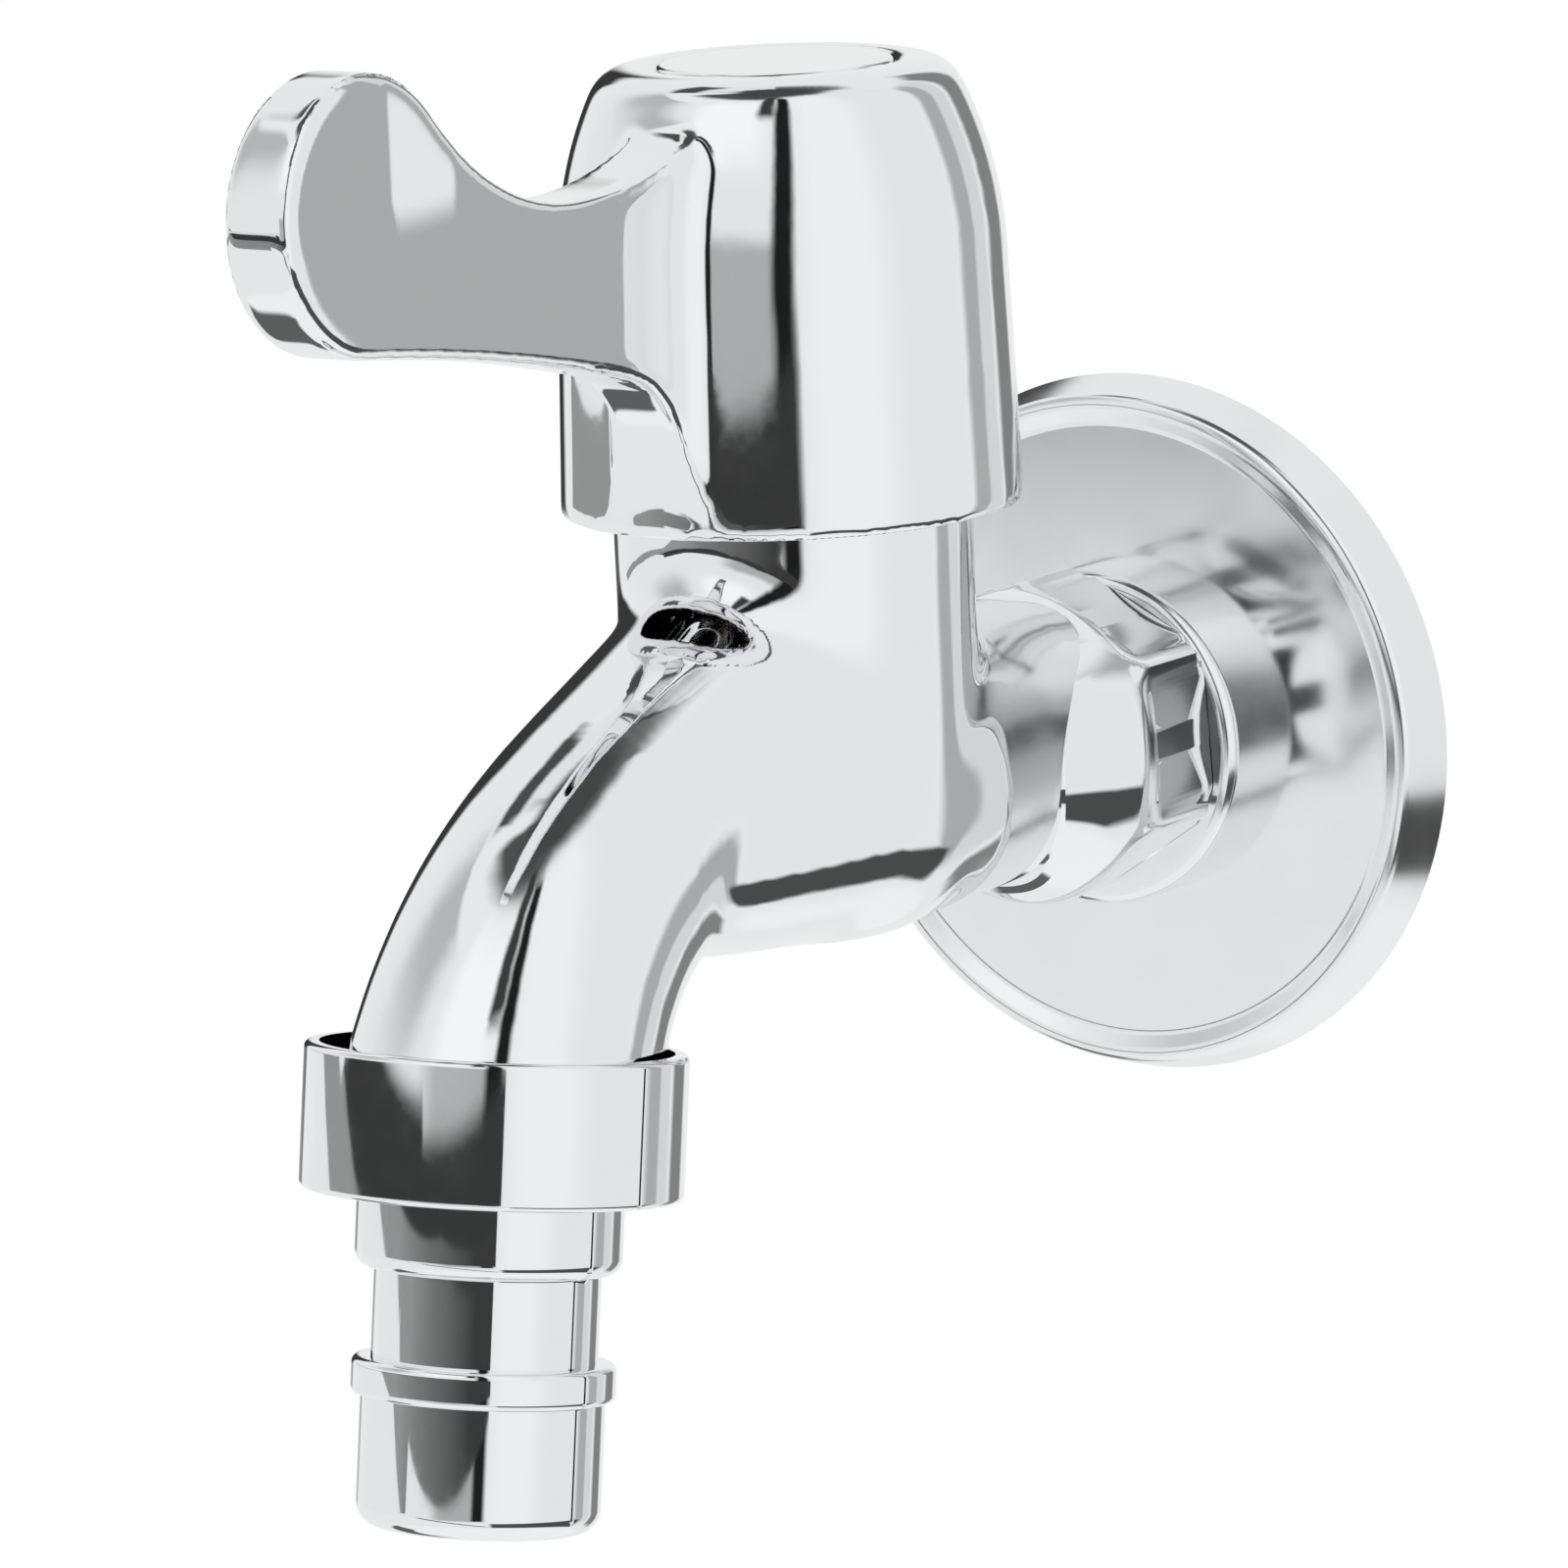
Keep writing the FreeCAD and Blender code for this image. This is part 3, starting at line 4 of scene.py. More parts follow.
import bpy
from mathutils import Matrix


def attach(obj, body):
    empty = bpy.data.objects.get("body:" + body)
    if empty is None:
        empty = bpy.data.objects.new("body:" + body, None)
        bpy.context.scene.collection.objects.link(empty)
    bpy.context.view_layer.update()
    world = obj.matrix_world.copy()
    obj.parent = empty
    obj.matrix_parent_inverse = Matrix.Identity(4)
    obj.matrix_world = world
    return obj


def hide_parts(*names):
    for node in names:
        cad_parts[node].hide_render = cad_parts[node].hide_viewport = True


bl_info = {
    "name": "Garden Tap",
    "version": (1, 0, 0),
    "blender": (4, 5, 0),
    "location": "View3D > Sidebar > Garden Tap",
    "description": "Chromed garden tap with a lever handle, a wall flange and a hose nozzle",
    "category": "Object",
}

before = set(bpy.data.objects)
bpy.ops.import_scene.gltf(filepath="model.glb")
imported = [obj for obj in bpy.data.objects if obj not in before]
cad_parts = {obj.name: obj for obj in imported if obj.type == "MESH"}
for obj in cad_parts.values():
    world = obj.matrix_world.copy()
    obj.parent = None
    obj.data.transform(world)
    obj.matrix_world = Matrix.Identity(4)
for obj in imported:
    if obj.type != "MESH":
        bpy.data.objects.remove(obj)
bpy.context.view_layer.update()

import math

import bmesh
import bpy
from bpy.props import FloatProperty, FloatVectorProperty, IntProperty, PointerProperty
from mathutils import Matrix, Vector

MM = 0.001
# Vertices closer than this are one.
WELD_DISTANCE = 0.001 * MM

# Axes and heights of the tap: the valve's axis, the top of the nozzle's ring and its lean in degrees, the
# flange's centre, which hangs a little low, and the hood's top.
VALVE_Y = -51.1
NOZZLE_Y = -94.7
NOZZLE_Z = -10.65
NOZZLE_LEAN = 8.5
FLANGE_Z = -1.05
HOOD_TOP = 61.85

# Distance between the buffing marks of the flange, drawn coarser than they are so that they show.
BUFFING_PITCH = 0.35
# The camera's sensor in millimetres, and the floor's half width in metres.
SENSOR_WIDTH = 36
FLOOR_REACH = 3.0


def to_light(level):
    """A level as it shows in the picture, as light."""
    return level / 12.92 if level <= 0.04045 else ((level + 0.055) / 1.055) ** 2.4


def linear(code):
    """An sRGB hex colour as linear red, green and blue."""
    return tuple(to_light(int(code[k:k + 2], 16) / 255) for k in (1, 3, 5))


def add_node(tree, kind, settings=None, links=None):
    """Adds a node: settings go to its inputs or attributes, links join other nodes' outputs to its inputs."""
    node = tree.nodes.new(kind)
    for key, value in (settings or {}).items():
        if isinstance(key, str) and hasattr(node, key):
            setattr(node, key, value)
        else:
            node.inputs[key].default_value = value
    for key, source in (links or {}).items():
        tree.links.new(source, node.inputs[key])
    return node


def new_material(name):
    """An empty node material and its tree."""
    material = bpy.data.materials.new(name)
    material.use_nodes = True
    material.node_tree.nodes.clear()
    return material, material.node_tree


def millimetres(tree):
    """The place on the piece in millimetres."""
    place = add_node(tree, "ShaderNodeTexCoord")
    scale = {"Scale": (1 / MM, 1 / MM, 1 / MM)}
    return add_node(tree, "ShaderNodeMapping", scale, {"Vector": place.outputs["Object"]}).outputs["Vector"]


def chrome_plate(name, tint, gloss, speck_size=0.0, speck_share=0.0):
    """Bright nickel and chrome plate: a blue-white mirror whose ground is polished but never quite flat, so
    long reflections waver a little, and small pits under the plate show as dull specks."""
    material, tree = new_material(name)
    at = millimetres(tree)
    wave = add_node(tree, "ShaderNodeTexNoise", {"Scale": 1 / 7.0, "Detail": 1.0, "Roughness": 0.4},
                    {"Vector": at})
    haze = add_node(tree, "ShaderNodeTexNoise", {"Scale": 1 / 1.6, "Detail": 4.0, "Roughness": 0.6},
                    {"Vector": at})
    rough = add_node(tree, "ShaderNodeMapRange", {
        "From Min": 0.35, "From Max": 0.75, "To Min": gloss, "To Max": gloss + 0.03,
    }, {"Value": haze.outputs["Fac"]}).outputs["Result"]
    bump = add_node(tree, "ShaderNodeBump", {"Strength": 1.0, "Distance": 0.004 * MM},
                    {"Height": wave.outputs["Fac"]})
    if speck_share:
        cells = add_node(tree, "ShaderNodeTexVoronoi", {"Scale": 1 / (speck_size * 4)}, {"Vector": at})
        pick = add_node(tree, "ShaderNodeMath", {"operation": "LESS_THAN", 1: speck_share},
                        {0: cells.outputs["Color"]})
        spot = add_node(tree, "ShaderNodeMapRange", {
            "interpolation_type": "SMOOTHSTEP", "From Min": 0.10, "From Max": 0.22,
            "To Min": 1.0, "To Max": 0.0,
        }, {"Value": cells.outputs["Distance"]})
        speck = add_node(tree, "ShaderNodeMath", {"operation": "MULTIPLY"},
                         {0: pick.outputs[0], 1: spot.outputs["Result"]}).outputs[0]
        rough = add_node(tree, "ShaderNodeMath", {"operation": "MULTIPLY_ADD", 1: 0.35},
                         {0: speck, 2: rough}).outputs[0]
        bump = add_node(tree, "ShaderNodeBump", {"Strength": 0.6, "Distance": 0.02 * MM, "invert": True},
                        {"Height": speck, "Normal": bump.outputs["Normal"]})
    plate = add_node(tree, "ShaderNodeBsdfPrincipled", {"Base Color": (*tint, 1), "Metallic": 1.0},
                     {"Roughness": rough, "Normal": bump.outputs["Normal"]})
    add_node(tree, "ShaderNodeOutputMaterial", links={"Surface": plate.outputs["BSDF"]})
    return material


def buffed_chrome(name, tint, gloss, pitch):
    """Chrome plate over pressed sheet that was buffed up and down: a soft mirror with fine hair marks."""
    material, tree = new_material(name)
    at = millimetres(tree)
    long_way = add_node(tree, "ShaderNodeMapping", {"Scale": (1 / pitch, 1 / pitch, 0.1 / pitch)},
                        {"Vector": at})
    hairs = add_node(tree, "ShaderNodeTexNoise", {"Scale": 1.0, "Detail": 2.0},
                     {"Vector": long_way.outputs[0]})
    haze = add_node(tree, "ShaderNodeTexNoise", {"Scale": 1 / 5.0, "Detail": 3.0}, {"Vector": at})
    rough = add_node(tree, "ShaderNodeMapRange", {
        "From Min": 0.3, "From Max": 0.7, "To Min": gloss, "To Max": gloss + 0.05,
    }, {"Value": haze.outputs["Fac"]})
    bump = add_node(tree, "ShaderNodeBump", {"Strength": 0.12, "Distance": 0.006 * MM},
                    {"Height": hairs.outputs["Fac"]})
    plate = add_node(tree, "ShaderNodeBsdfPrincipled", {"Base Color": (*tint, 1), "Metallic": 1.0},
                     {"Roughness": rough.outputs["Result"], "Normal": bump.outputs["Normal"]})
    add_node(tree, "ShaderNodeOutputMaterial", links={"Surface": plate.outputs["BSDF"]})
    return material


def bare_metal(name, tint, gloss, pitch):
    """Turned or stamped metal without plate: fine tool marks around the axis and a duller, uneven shine."""
    material, tree = new_material(name)
    at = millimetres(tree)
    marks = add_node(tree, "ShaderNodeTexWave", {
        "wave_type": "BANDS", "bands_direction": "Z", "Scale": 0.3 / pitch, "Distortion": 0.6, "Detail": 2.0,
    }, {"Vector": at})
    stain = add_node(tree, "ShaderNodeTexNoise", {"Scale": 1 / 3.0, "Detail": 3.0}, {"Vector": at})
    rough = add_node(tree, "ShaderNodeMapRange", {"To Min": gloss, "To Max": gloss + 0.12},
                     {"Value": stain.outputs["Fac"]})
    bump = add_node(tree, "ShaderNodeBump", {"Strength": 0.5, "Distance": 0.01 * MM},
                    {"Height": marks.outputs["Fac"]})
    metal = add_node(tree, "ShaderNodeBsdfPrincipled", {"Base Color": (*tint, 1), "Metallic": 1.0},
                     {"Roughness": rough.outputs["Result"], "Normal": bump.outputs["Normal"]})
    add_node(tree, "ShaderNodeOutputMaterial", links={"Surface": metal.outputs["BSDF"]})
    return material


def dull_solid(name, dark, light, gloss, grain, ior=1.5):
    """Moulded rubber or plastic, or lapped ceramic: a plain colour with a fine grain."""
    material, tree = new_material(name)
    at = millimetres(tree)
    noise = add_node(tree, "ShaderNodeTexNoise", {"Scale": 1 / grain, "Detail": 4.0}, {"Vector": at})
    colour = add_node(tree, "ShaderNodeMix", {"data_type": "RGBA", 6: (*dark, 1), 7: (*light, 1)},
                      {0: noise.outputs["Fac"]})
    rough = add_node(tree, "ShaderNodeMapRange", {"To Min": gloss, "To Max": gloss + 0.15},
                     {"Value": noise.outputs["Fac"]})
    bump = add_node(tree, "ShaderNodeBump", {"Strength": 0.4, "Distance": 0.01 * MM},
                    {"Height": noise.outputs["Fac"]})
    solid = add_node(tree, "ShaderNodeBsdfPrincipled", {"IOR": ior},
                     {"Base Color": colour.outputs[2], "Roughness": rough.outputs["Result"],
                      "Normal": bump.outputs["Normal"]})
    add_node(tree, "ShaderNodeOutputMaterial", links={"Surface": solid.outputs["BSDF"]})
    return material


def new_object(name, bm):
    """An object in the scene that takes over a bmesh."""
    mesh = bpy.data.meshes.new(name)
    bm.to_mesh(mesh)
    bm.free()
    made = bpy.data.objects.new(name, mesh)
    bpy.context.scene.collection.objects.link(made)
    return made


def make_piece(name, bm, material, body, nodes, sharp=35, weighted=False):
    """Turns a bmesh into a smooth-shaded piece that rides on a body and stands for its nodes."""
    piece = new_object(name, bm)
    piece.data.shade_smooth()
    piece.data.set_sharp_from_angle(angle=math.radians(sharp))
    piece.data.materials.append(material)
    if weighted:
        even = piece.modifiers.new("face_weighted_normals", "WEIGHTED_NORMAL")
        even.keep_sharp = True
    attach(piece, body)
    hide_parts(*nodes)


def turned(corners, steps):
    """A solid of revolution about Z from half its section. A corner is (radius, height) or
    (radius, height, rounding)."""
    bm = bmesh.new()
    verts = [bm.verts.new((c[0] * MM, 0, c[1] * MM)) for c in corners]
    edges = [bm.edges.new((verts[k - 1], verts[k])) for k in range(len(verts))]
    bmesh.ops.spin(bm, geom=verts + edges, cent=(0, 0, 0), axis=(0, 0, 1), angle=2 * math.pi,
                   steps=steps, use_merge=True)
    bmesh.ops.remove_doubles(bm, verts=bm.verts, dist=WELD_DISTANCE)
    bmesh.ops.recalc_face_normals(bm, faces=bm.faces)
    for corner in corners:
        if len(corner) == 3:
            ring = [e for e in bm.edges if all(on_ring(v.co, corner) for v in e.verts)]
            bmesh.ops.bevel(bm, geom=ring, offset=corner[2] * MM, segments=6, profile=0.5, affect="EDGES",
                            material=-1)
    return bm


def on_ring(place, corner):
    """Whether a vertex belongs to the ring that a section's corner makes."""
    near = 0.01
    return (abs(math.hypot(place.x, place.y) / MM - corner[0]) < near
            and abs(place.z / MM - corner[1]) < near)


def place_piece(bm, matrix):
    """Moves and turns a whole bmesh."""
    bmesh.ops.transform(bm, matrix=matrix, verts=bm.verts)


def merged_copy(node):
    """A CAD node's mesh with its loose triangles joined."""
    bm = bmesh.new()
    bm.from_mesh(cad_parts[node].data)
    bmesh.ops.remove_doubles(bm, verts=bm.verts, dist=WELD_DISTANCE)
    return bm


def rod(radius, start, end, segments=96):
    """A closed cylinder between two points in millimetres."""
    bm = bmesh.new()
    start, end = Vector(start) * MM, Vector(end) * MM
    along = end - start
    turn = along.to_track_quat("Z", "Y").to_matrix().to_4x4()
    bmesh.ops.create_cone(bm, cap_ends=True, segments=segments, radius1=radius * MM, radius2=radius * MM,
                          depth=along.length, matrix=Matrix.Translation((start + end) / 2) @ turn)
    return bm


def finished(*blocks):
    """The first helper object's mesh with its modifiers applied. All the helpers are removed."""
    bm = bmesh.new()
    bm.from_object(blocks[0], bpy.context.evaluated_depsgraph_get())
    for block in blocks:
        mesh = block.data
        bpy.data.objects.remove(block)
        bpy.data.meshes.remove(mesh)
    return bm


def combine(bm, other, operation):
    """Joins a closed solid to another, or cuts it out."""
    block, tool = new_object("block", bm), new_object("tool", other)
    modifier = block.modifiers.new("combine", "BOOLEAN")
    modifier.operation = operation
    modifier.solver = "MANIFOLD"
    modifier.object = tool
    return finished(block, tool)


def join(bm, other):
    """Adds another bmesh's shells to this one."""
    mesh = bpy.data.meshes.new("joined")
    other.to_mesh(mesh)
    other.free()
    bm.from_mesh(mesh)
    bpy.data.meshes.remove(mesh)


def even_skin(bm, voxel):
    """Melts solids into one even skin and relaxes it, so that its blends mirror without facets."""
    block = new_object("block", bm)
    melt = block.modifiers.new("melt", "REMESH")
    melt.mode = "VOXEL"
    melt.voxel_size = voxel
    skin = finished(block)
    relax(skin, skin.verts[:], SKIN_PASSES)
    return skin


def relax(bm, verts, passes):
    """Moves each vertex half way to the middle of its neighbours."""
    for _ in range(passes):
        bmesh.ops.smooth_vert(bm, verts=verts, factor=0.5, use_axis_x=True, use_axis_y=True, use_axis_z=True)


def relax_softly(bm, weight, passes, levels=6):
    """Relaxes most where the weight is one, and less and less towards where it is nothing."""
    weights = [(v, weight(v.co / MM)) for v in bm.verts]
    groups = [[v for v, w in weights if w > level / levels] for level in range(levels)]
    for k in range(passes):
        relax(bm, groups[k % levels], 1)


def cut_square(bm, y):
    """Cuts a piece square to the inlet axis, keeps the front and closes the cut ring."""
    everything = bm.verts[:] + bm.edges[:] + bm.faces[:]
    cut = bmesh.ops.bisect_plane(bm, geom=everything, plane_co=(0, y * MM, 0), plane_no=(0, 1, 0),
                                 clear_outer=True)
    edges = [e for e in cut["geom_cut"] if isinstance(e, bmesh.types.BMEdge)]
    bmesh.ops.bridge_loops(bm, edges=edges)


# Oval sections of the horn that flares from the inlet into the barrel and runs on as the belly below the
# spout: place on the inlet axis, half width, top and bottom.
HORN = (
    (-18.9, 10.4, 12.8, -10.3),
    (-25.5, 10.8, 13.3, -10.4),
    (-31.0, 11.6, 13.7, -10.4),
    (-36.0, 12.9, 14.4, -10.3),
    (-40.5, 13.9, 16.0, -10.3),
    (-46.0, 14.5, 19.0, -10.1),
    (-51.1, 14.6, 22.0, -10.0),
    (-57.0, 14.1, 23.0, -9.6),
    (-62.0, 13.3, 20.5, -9.2),
    (-67.0, 12.6, 18.5, -8.7),
    (-71.0, 12.1, 16.0, -8.1),
    (-75.0, 11.5, 12.5, -7.6),
    (-79.0, 10.7, 7.0, -7.2),
)
# The turned inlet: radius, distance in front of the wall at its flanks, the same at its top and bottom, and
# how much of a hexagon the section is.
INLET = (
    (6.0, 30.9, 24.0, 0), (10.9, 30.9, 24.0, 0), (11.6, 30.2, 23.4, 0), (12.3, 27.6, 21.8, 0),
    (12.8, 24.4, 20.8, 0), (13.2, 21.4, 19.9, 0), (13.4, 19.7, 19.2, 0), (13.5, 18.9, 18.7, 0.12),
    (13.65, 18.2, 18.2, 0.45), (13.75, 17.5, 17.5, 0.82), (13.8, 16.8, 16.8, 1), (13.8, 9.8, 9.8, 1),
    (13.0, 8.9, 8.9, 1), (12.0, 8.9, 8.9, 0), (12.0, 8.82, 8.82, 0), (10.2, 8.82, 8.82, 0), (10.2, 0, 0, 0),
    (10.478, 0, 0, 0), (10.478, -10, -10, 0), (9.478, -11, -11, 0), (6.0, -11, -11, 0),
)
# The exponent of the horn's upper half: two would be a plain oval.
UPPER_SQUARENESS = 2.6
# Inlet bore, seat hole, valve chamber and the three runs of the spout's way: radius and ends.
WATER_WAYS = (
    (6.2, (0, -46.3, 0), (0, -10, 0)),
    (4.8, (0, VALVE_Y, 0), (0, VALVE_Y, 9)),
    (10.3, (0, VALVE_Y, 8), (0, VALVE_Y, 40)),
    (5.0, (0, -56, 13.2), (0, -64, 9.7)),
    (6.5, (0, -62, 10.5), (0, -76, 4)),
    (6.5, (0, -74, 4.8), (0, -84, -0.8)),
)
# The inlet's hexagon: across its flats, and its turn in degrees.
SPANNER_FLATS = 24.2
SPANNER_TURN = 3.0
# The inlet's G 1/2 thread: pitch, root radius, a radius outside the crests, half the groove's width there,
# steps for each turn, and turns.
THREAD_PITCH = 1.814
THREAD_ROOT = 9.35
THREAD_OUTSIDE = 11.0
THREAD_HALF_WIDTH = 0.95
THREAD_STEPS = 72
THREAD_TURNS = 5

# The nozzle's parting line: radius and height along its outside, its width, and its two turns about the axis
# in degrees.
NOZZLE_SEAM = (
    (14.3, -0.4), (15.24, -0.4), (15.24, -11.4), (10.64, -11.6), (10.64, -16.9), (9.9, -17.7), (9.04, -17.7),
    (9.04, -24.5), (10.54, -24.9), (10.54, -27.4), (9.74, -27.7), (9.74, -36.6), (8.0, -37.4), (7.6, -10.6),
    (14.3, -10.6),
)
SEAM_WIDTH = 0.16
NOZZLE_SEAM_TURNS = (-4.4, 175.6)

# The lever's parting line across its end: its ends and its radius.
LEVER_SEAM = ((-2.4, -120.6, 57.15), (2.4, -120.6, 57.15))
LEVER_SEAM_RADIUS = 0.1

# The sinks in the lever's flats: depth, where they start, where they are deepest, the share of the depth that
# is lost by the lever's end, where that end is, the height at which they start, the rise to their full depth,
# and how far from the middle the flats' vertices lie at least.
SINK_DEPTH = 0.5
SINK_FOOT_Y = -99.2
SINK_DEEP_Y = -107.0
SINK_LOSS = 0.9
LEVER_END_Y = -121.0
SINK_LOW_Z = 54.5
SINK_RISE = 3.5
FLAT_LEAST_X = 2.4

# Half sections of the turned pieces: radius and height of each corner, and its rounding where it has one.
FLANGE_SECTION = (
    (30.0, 0), (28.6, 4.5, 0.7), (27.7, 4.5, 0.3), (26.3, 3.7, 0.3), (14.3, 3.7), (14.3, 8.8, 1.2),
    (11.27, 8.8), (11.27, 7.5), (13.0, 7.5), (13.0, 2.4), (26.6, 2.4), (28.7, 0),
)
NOZZLE_SECTION = (
    (14.0, 0), (15.15, 0, 0.5), (15.15, -11.5, 0.5), (10.55, -11.5), (10.55, -17.6, 1.4), (8.95, -17.6),
    (8.95, -24.6), (10.45, -24.6, 0.6), (10.45, -27.6, 0.6), (9.65, -27.6), (9.65, -38.0, 1.9),
    (6.9, -38.0), (6.9, -10.0), (13.25, -10.0), (13.25, -3.6), (14.0, -3.6),
)
CAP_SECTION = (
    (0, 0), (9.6, 0, 0.4), (9.6, -1.4), (7.6, -1.4), (7.6, -3.6), (6.7, -3.6), (6.7, -1.4), (0, -1.4),
)

# Where the casting's blends are relaxed: each place with the length over which the relaxing fades, and the
# number of passes.
BLEND_TOP = (22, 6)
BLEND_FRONT = (-82, 8)
BLEND_REAR = (-24, 5)
BLEND_PASSES = 60
# The bores that they leave alone: the valve chamber's reach and floor, the inlet bore's reach and end, and
# the seat hole's reach.
CHAMBER = (12.3, 5)
BORE = (7.5, -48)
SEAT_HOLE = 6
# Behind this place the horn and the turned inlet stand for the solid's own neck and inlet.
NECK_CUT_Y = -33.5
SKIN_PASSES = 6
# The lever's skin has a finer grid than the body's, by this share.
LEVER_GRID = 0.95


def lofted(sections, place, segments, closed=False):
    """A skin over rings about the inlet axis. place gives a ring point's x, y and z for a section and an
    angle."""
    bm = bmesh.new()
    rings = []
    for section in sections:
        verts = bmesh.ops.create_circle(bm, segments=segments, radius=1.0)["verts"]
        for v in verts:
            v.co = Vector(place(section, math.atan2(v.co.y, v.co.x))) * MM
        rings.append(list({e for v in verts for e in v.link_edges}))
    for first, second in zip(rings, rings[1:]):
        bmesh.ops.bridge_loops(bm, edges=first + second)
    if closed:
        bmesh.ops.bridge_loops(bm, edges=rings[-1] + rings[0])
    else:
        bmesh.ops.edgeloop_fill(bm, edges=rings[0])
        bmesh.ops.edgeloop_fill(bm, edges=rings[-1])
    bmesh.ops.recalc_face_normals(bm, faces=bm.faces)
    return bm


def oval_point(section, angle):
    """A plain half oval below and a squarer one above."""
    y, half_width, top, bottom = section
    across, rise = math.cos(angle), math.sin(angle)
    if rise < 0:
        return half_width * across, y, -bottom * rise
    power = 2 / UPPER_SQUARENESS
    return half_width * math.copysign(abs(across) ** power, across), y, top * rise ** power


def spanner_point(section, angle):
    """A round or hexagonal ring whose flanks may lie further forward than its top and bottom."""
    radius, at_flanks, at_top, hexagon = section
    across = (angle + math.radians(30 - SPANNER_TURN)) % math.radians(60) - math.radians(30)
    flat = min(radius, SPANNER_FLATS / 2 / math.cos(across))
    reach = radius + (flat - radius) * hexagon
    distance = at_top + (at_flanks - at_top) * math.cos(angle) ** 2
    return reach * math.cos(angle), -distance, reach * math.sin(angle)


def horn():
    """The horn with its water ways left open."""
    bm = lofted(HORN, oval_point, 96)
    for radius, start, end in WATER_WAYS:
        bm = combine(bm, rod(radius, start, end), "DIFFERENCE")
    return bm


def blend_weight(at):
    """Where the casting's soft blends lie: round the foot of the barrel, but not in its bores."""
    from_valve = math.hypot(at.x, at.y - VALVE_Y)
    in_chamber = from_valve < CHAMBER[0] and at.z > CHAMBER[1]
    in_inlet = math.hypot(at.x, at.z) < BORE[0] and at.y > BORE[1]
    if in_chamber or in_inlet or from_valve < SEAT_HOLE:
        return 0
    below_hood = min(1, max(0, (BLEND_TOP[0] - at.z) / BLEND_TOP[1]))
    behind_spout = min(1, max(0, (at.y - BLEND_FRONT[0]) / BLEND_FRONT[1]))
    before_inlet = min(1, max(0, (BLEND_REAR[0] - at.y) / BLEND_REAR[1]))
    return below_hood * behind_spout * before_inlet


def casting(voxel):
    """Barrel, spout and neck as one soft casting."""
    bm = merged_copy("tap_body")
    cut_square(bm, NECK_CUT_Y)
    join(bm, horn())
    skin = even_skin(bm, voxel)
    relax_softly(skin, blend_weight, BLEND_PASSES)
    return skin


def turned_inlet(steps):
    """Flare, spanner hexagon, ring and threaded tail, with the crisp edges of turned metal."""
    return lofted(INLET, spanner_point, steps, closed=True)


def thread_cutter():
    """The groove of the inlet's thread, wound about the inlet axis from the wall's face backwards."""
    bm = bmesh.new()
    corners = ((THREAD_ROOT, 0), (THREAD_OUTSIDE, -THREAD_HALF_WIDTH), (THREAD_OUTSIDE, THREAD_HALF_WIDTH))
    verts = [bm.verts.new(Vector((radius, 0, height)) * MM) for radius, height in corners]
    face = bm.faces.new(verts)
    bmesh.ops.spin(bm, geom=verts + face.edges[:] + [face], cent=(0, 0, 0), axis=(0, 0, 1),
                   dvec=(0, 0, THREAD_PITCH / THREAD_STEPS * MM), angle=2 * math.pi * THREAD_TURNS,
                   steps=THREAD_STEPS * THREAD_TURNS, use_merge=False)
    bmesh.ops.recalc_face_normals(bm, faces=bm.faces)
    place_piece(bm, Matrix.Rotation(math.radians(-90), 4, "X"))
    return bm


def seam_plate(outline, thickness, turn):
    """A thin plate in the plane of the axis, which stands out of a moulding as its parting line."""
    bm = bmesh.new()
    face = bm.faces.new([bm.verts.new(Vector((r, -thickness / 2, z)) * MM) for r, z in outline])
    risen = bmesh.ops.extrude_face_region(bm, geom=[face])["geom"]
    tops = [v for v in risen if isinstance(v, bmesh.types.BMVert)]
    bmesh.ops.translate(bm, verts=tops, vec=(0, thickness * MM, 0))
    bmesh.ops.recalc_face_normals(bm, faces=bm.faces)
    place_piece(bm, Matrix.Rotation(math.radians(turn), 4, "Z"))
    return bm


def sink_flats(bm):
    """Sinks the lever's flats a little where the thick end shrank in its mould."""
    for v in bm.verts:
        at = v.co / MM
        if abs(at.x) > FLAT_LEAST_X and at.y < SINK_FOOT_Y:
            if at.y > SINK_DEEP_Y:
                share = (SINK_FOOT_Y - at.y) / (SINK_FOOT_Y - SINK_DEEP_Y)
            else:
                share = 1 - SINK_LOSS * (SINK_DEEP_Y - at.y) / (SINK_DEEP_Y - LEVER_END_Y)
            share *= min(1, max(0, (at.z - SINK_LOW_Z) / SINK_RISE))
            v.co.x -= math.copysign(SINK_DEPTH * share, at.x) * MM


class TapLooks(bpy.types.PropertyGroup):
    """Sizes and colours that a user would change."""
    plate_tint: FloatVectorProperty(name="Plate colour", description="Colour of the chrome plate",
                                    subtype="COLOR", size=3, min=0, max=1, default=linear("#f3f4f5"))
    plate_gloss: FloatProperty(name="Plate roughness", description="Lowest roughness of the plate",
                               default=0.025, min=0, max=1)
    sheet_gloss: FloatProperty(name="Flange roughness", description="Lowest roughness of the wall flange",
                               default=0.13, min=0, max=1)
    skin_voxel: FloatProperty(name="Skin grid", description="Grid of the castings' smooth skin",
                              subtype="DISTANCE", unit="LENGTH", default=0.00045, min=0.0002)
    ring_steps: IntProperty(name="Ring steps", description="Steps around each turned piece",
                            default=192, min=24)


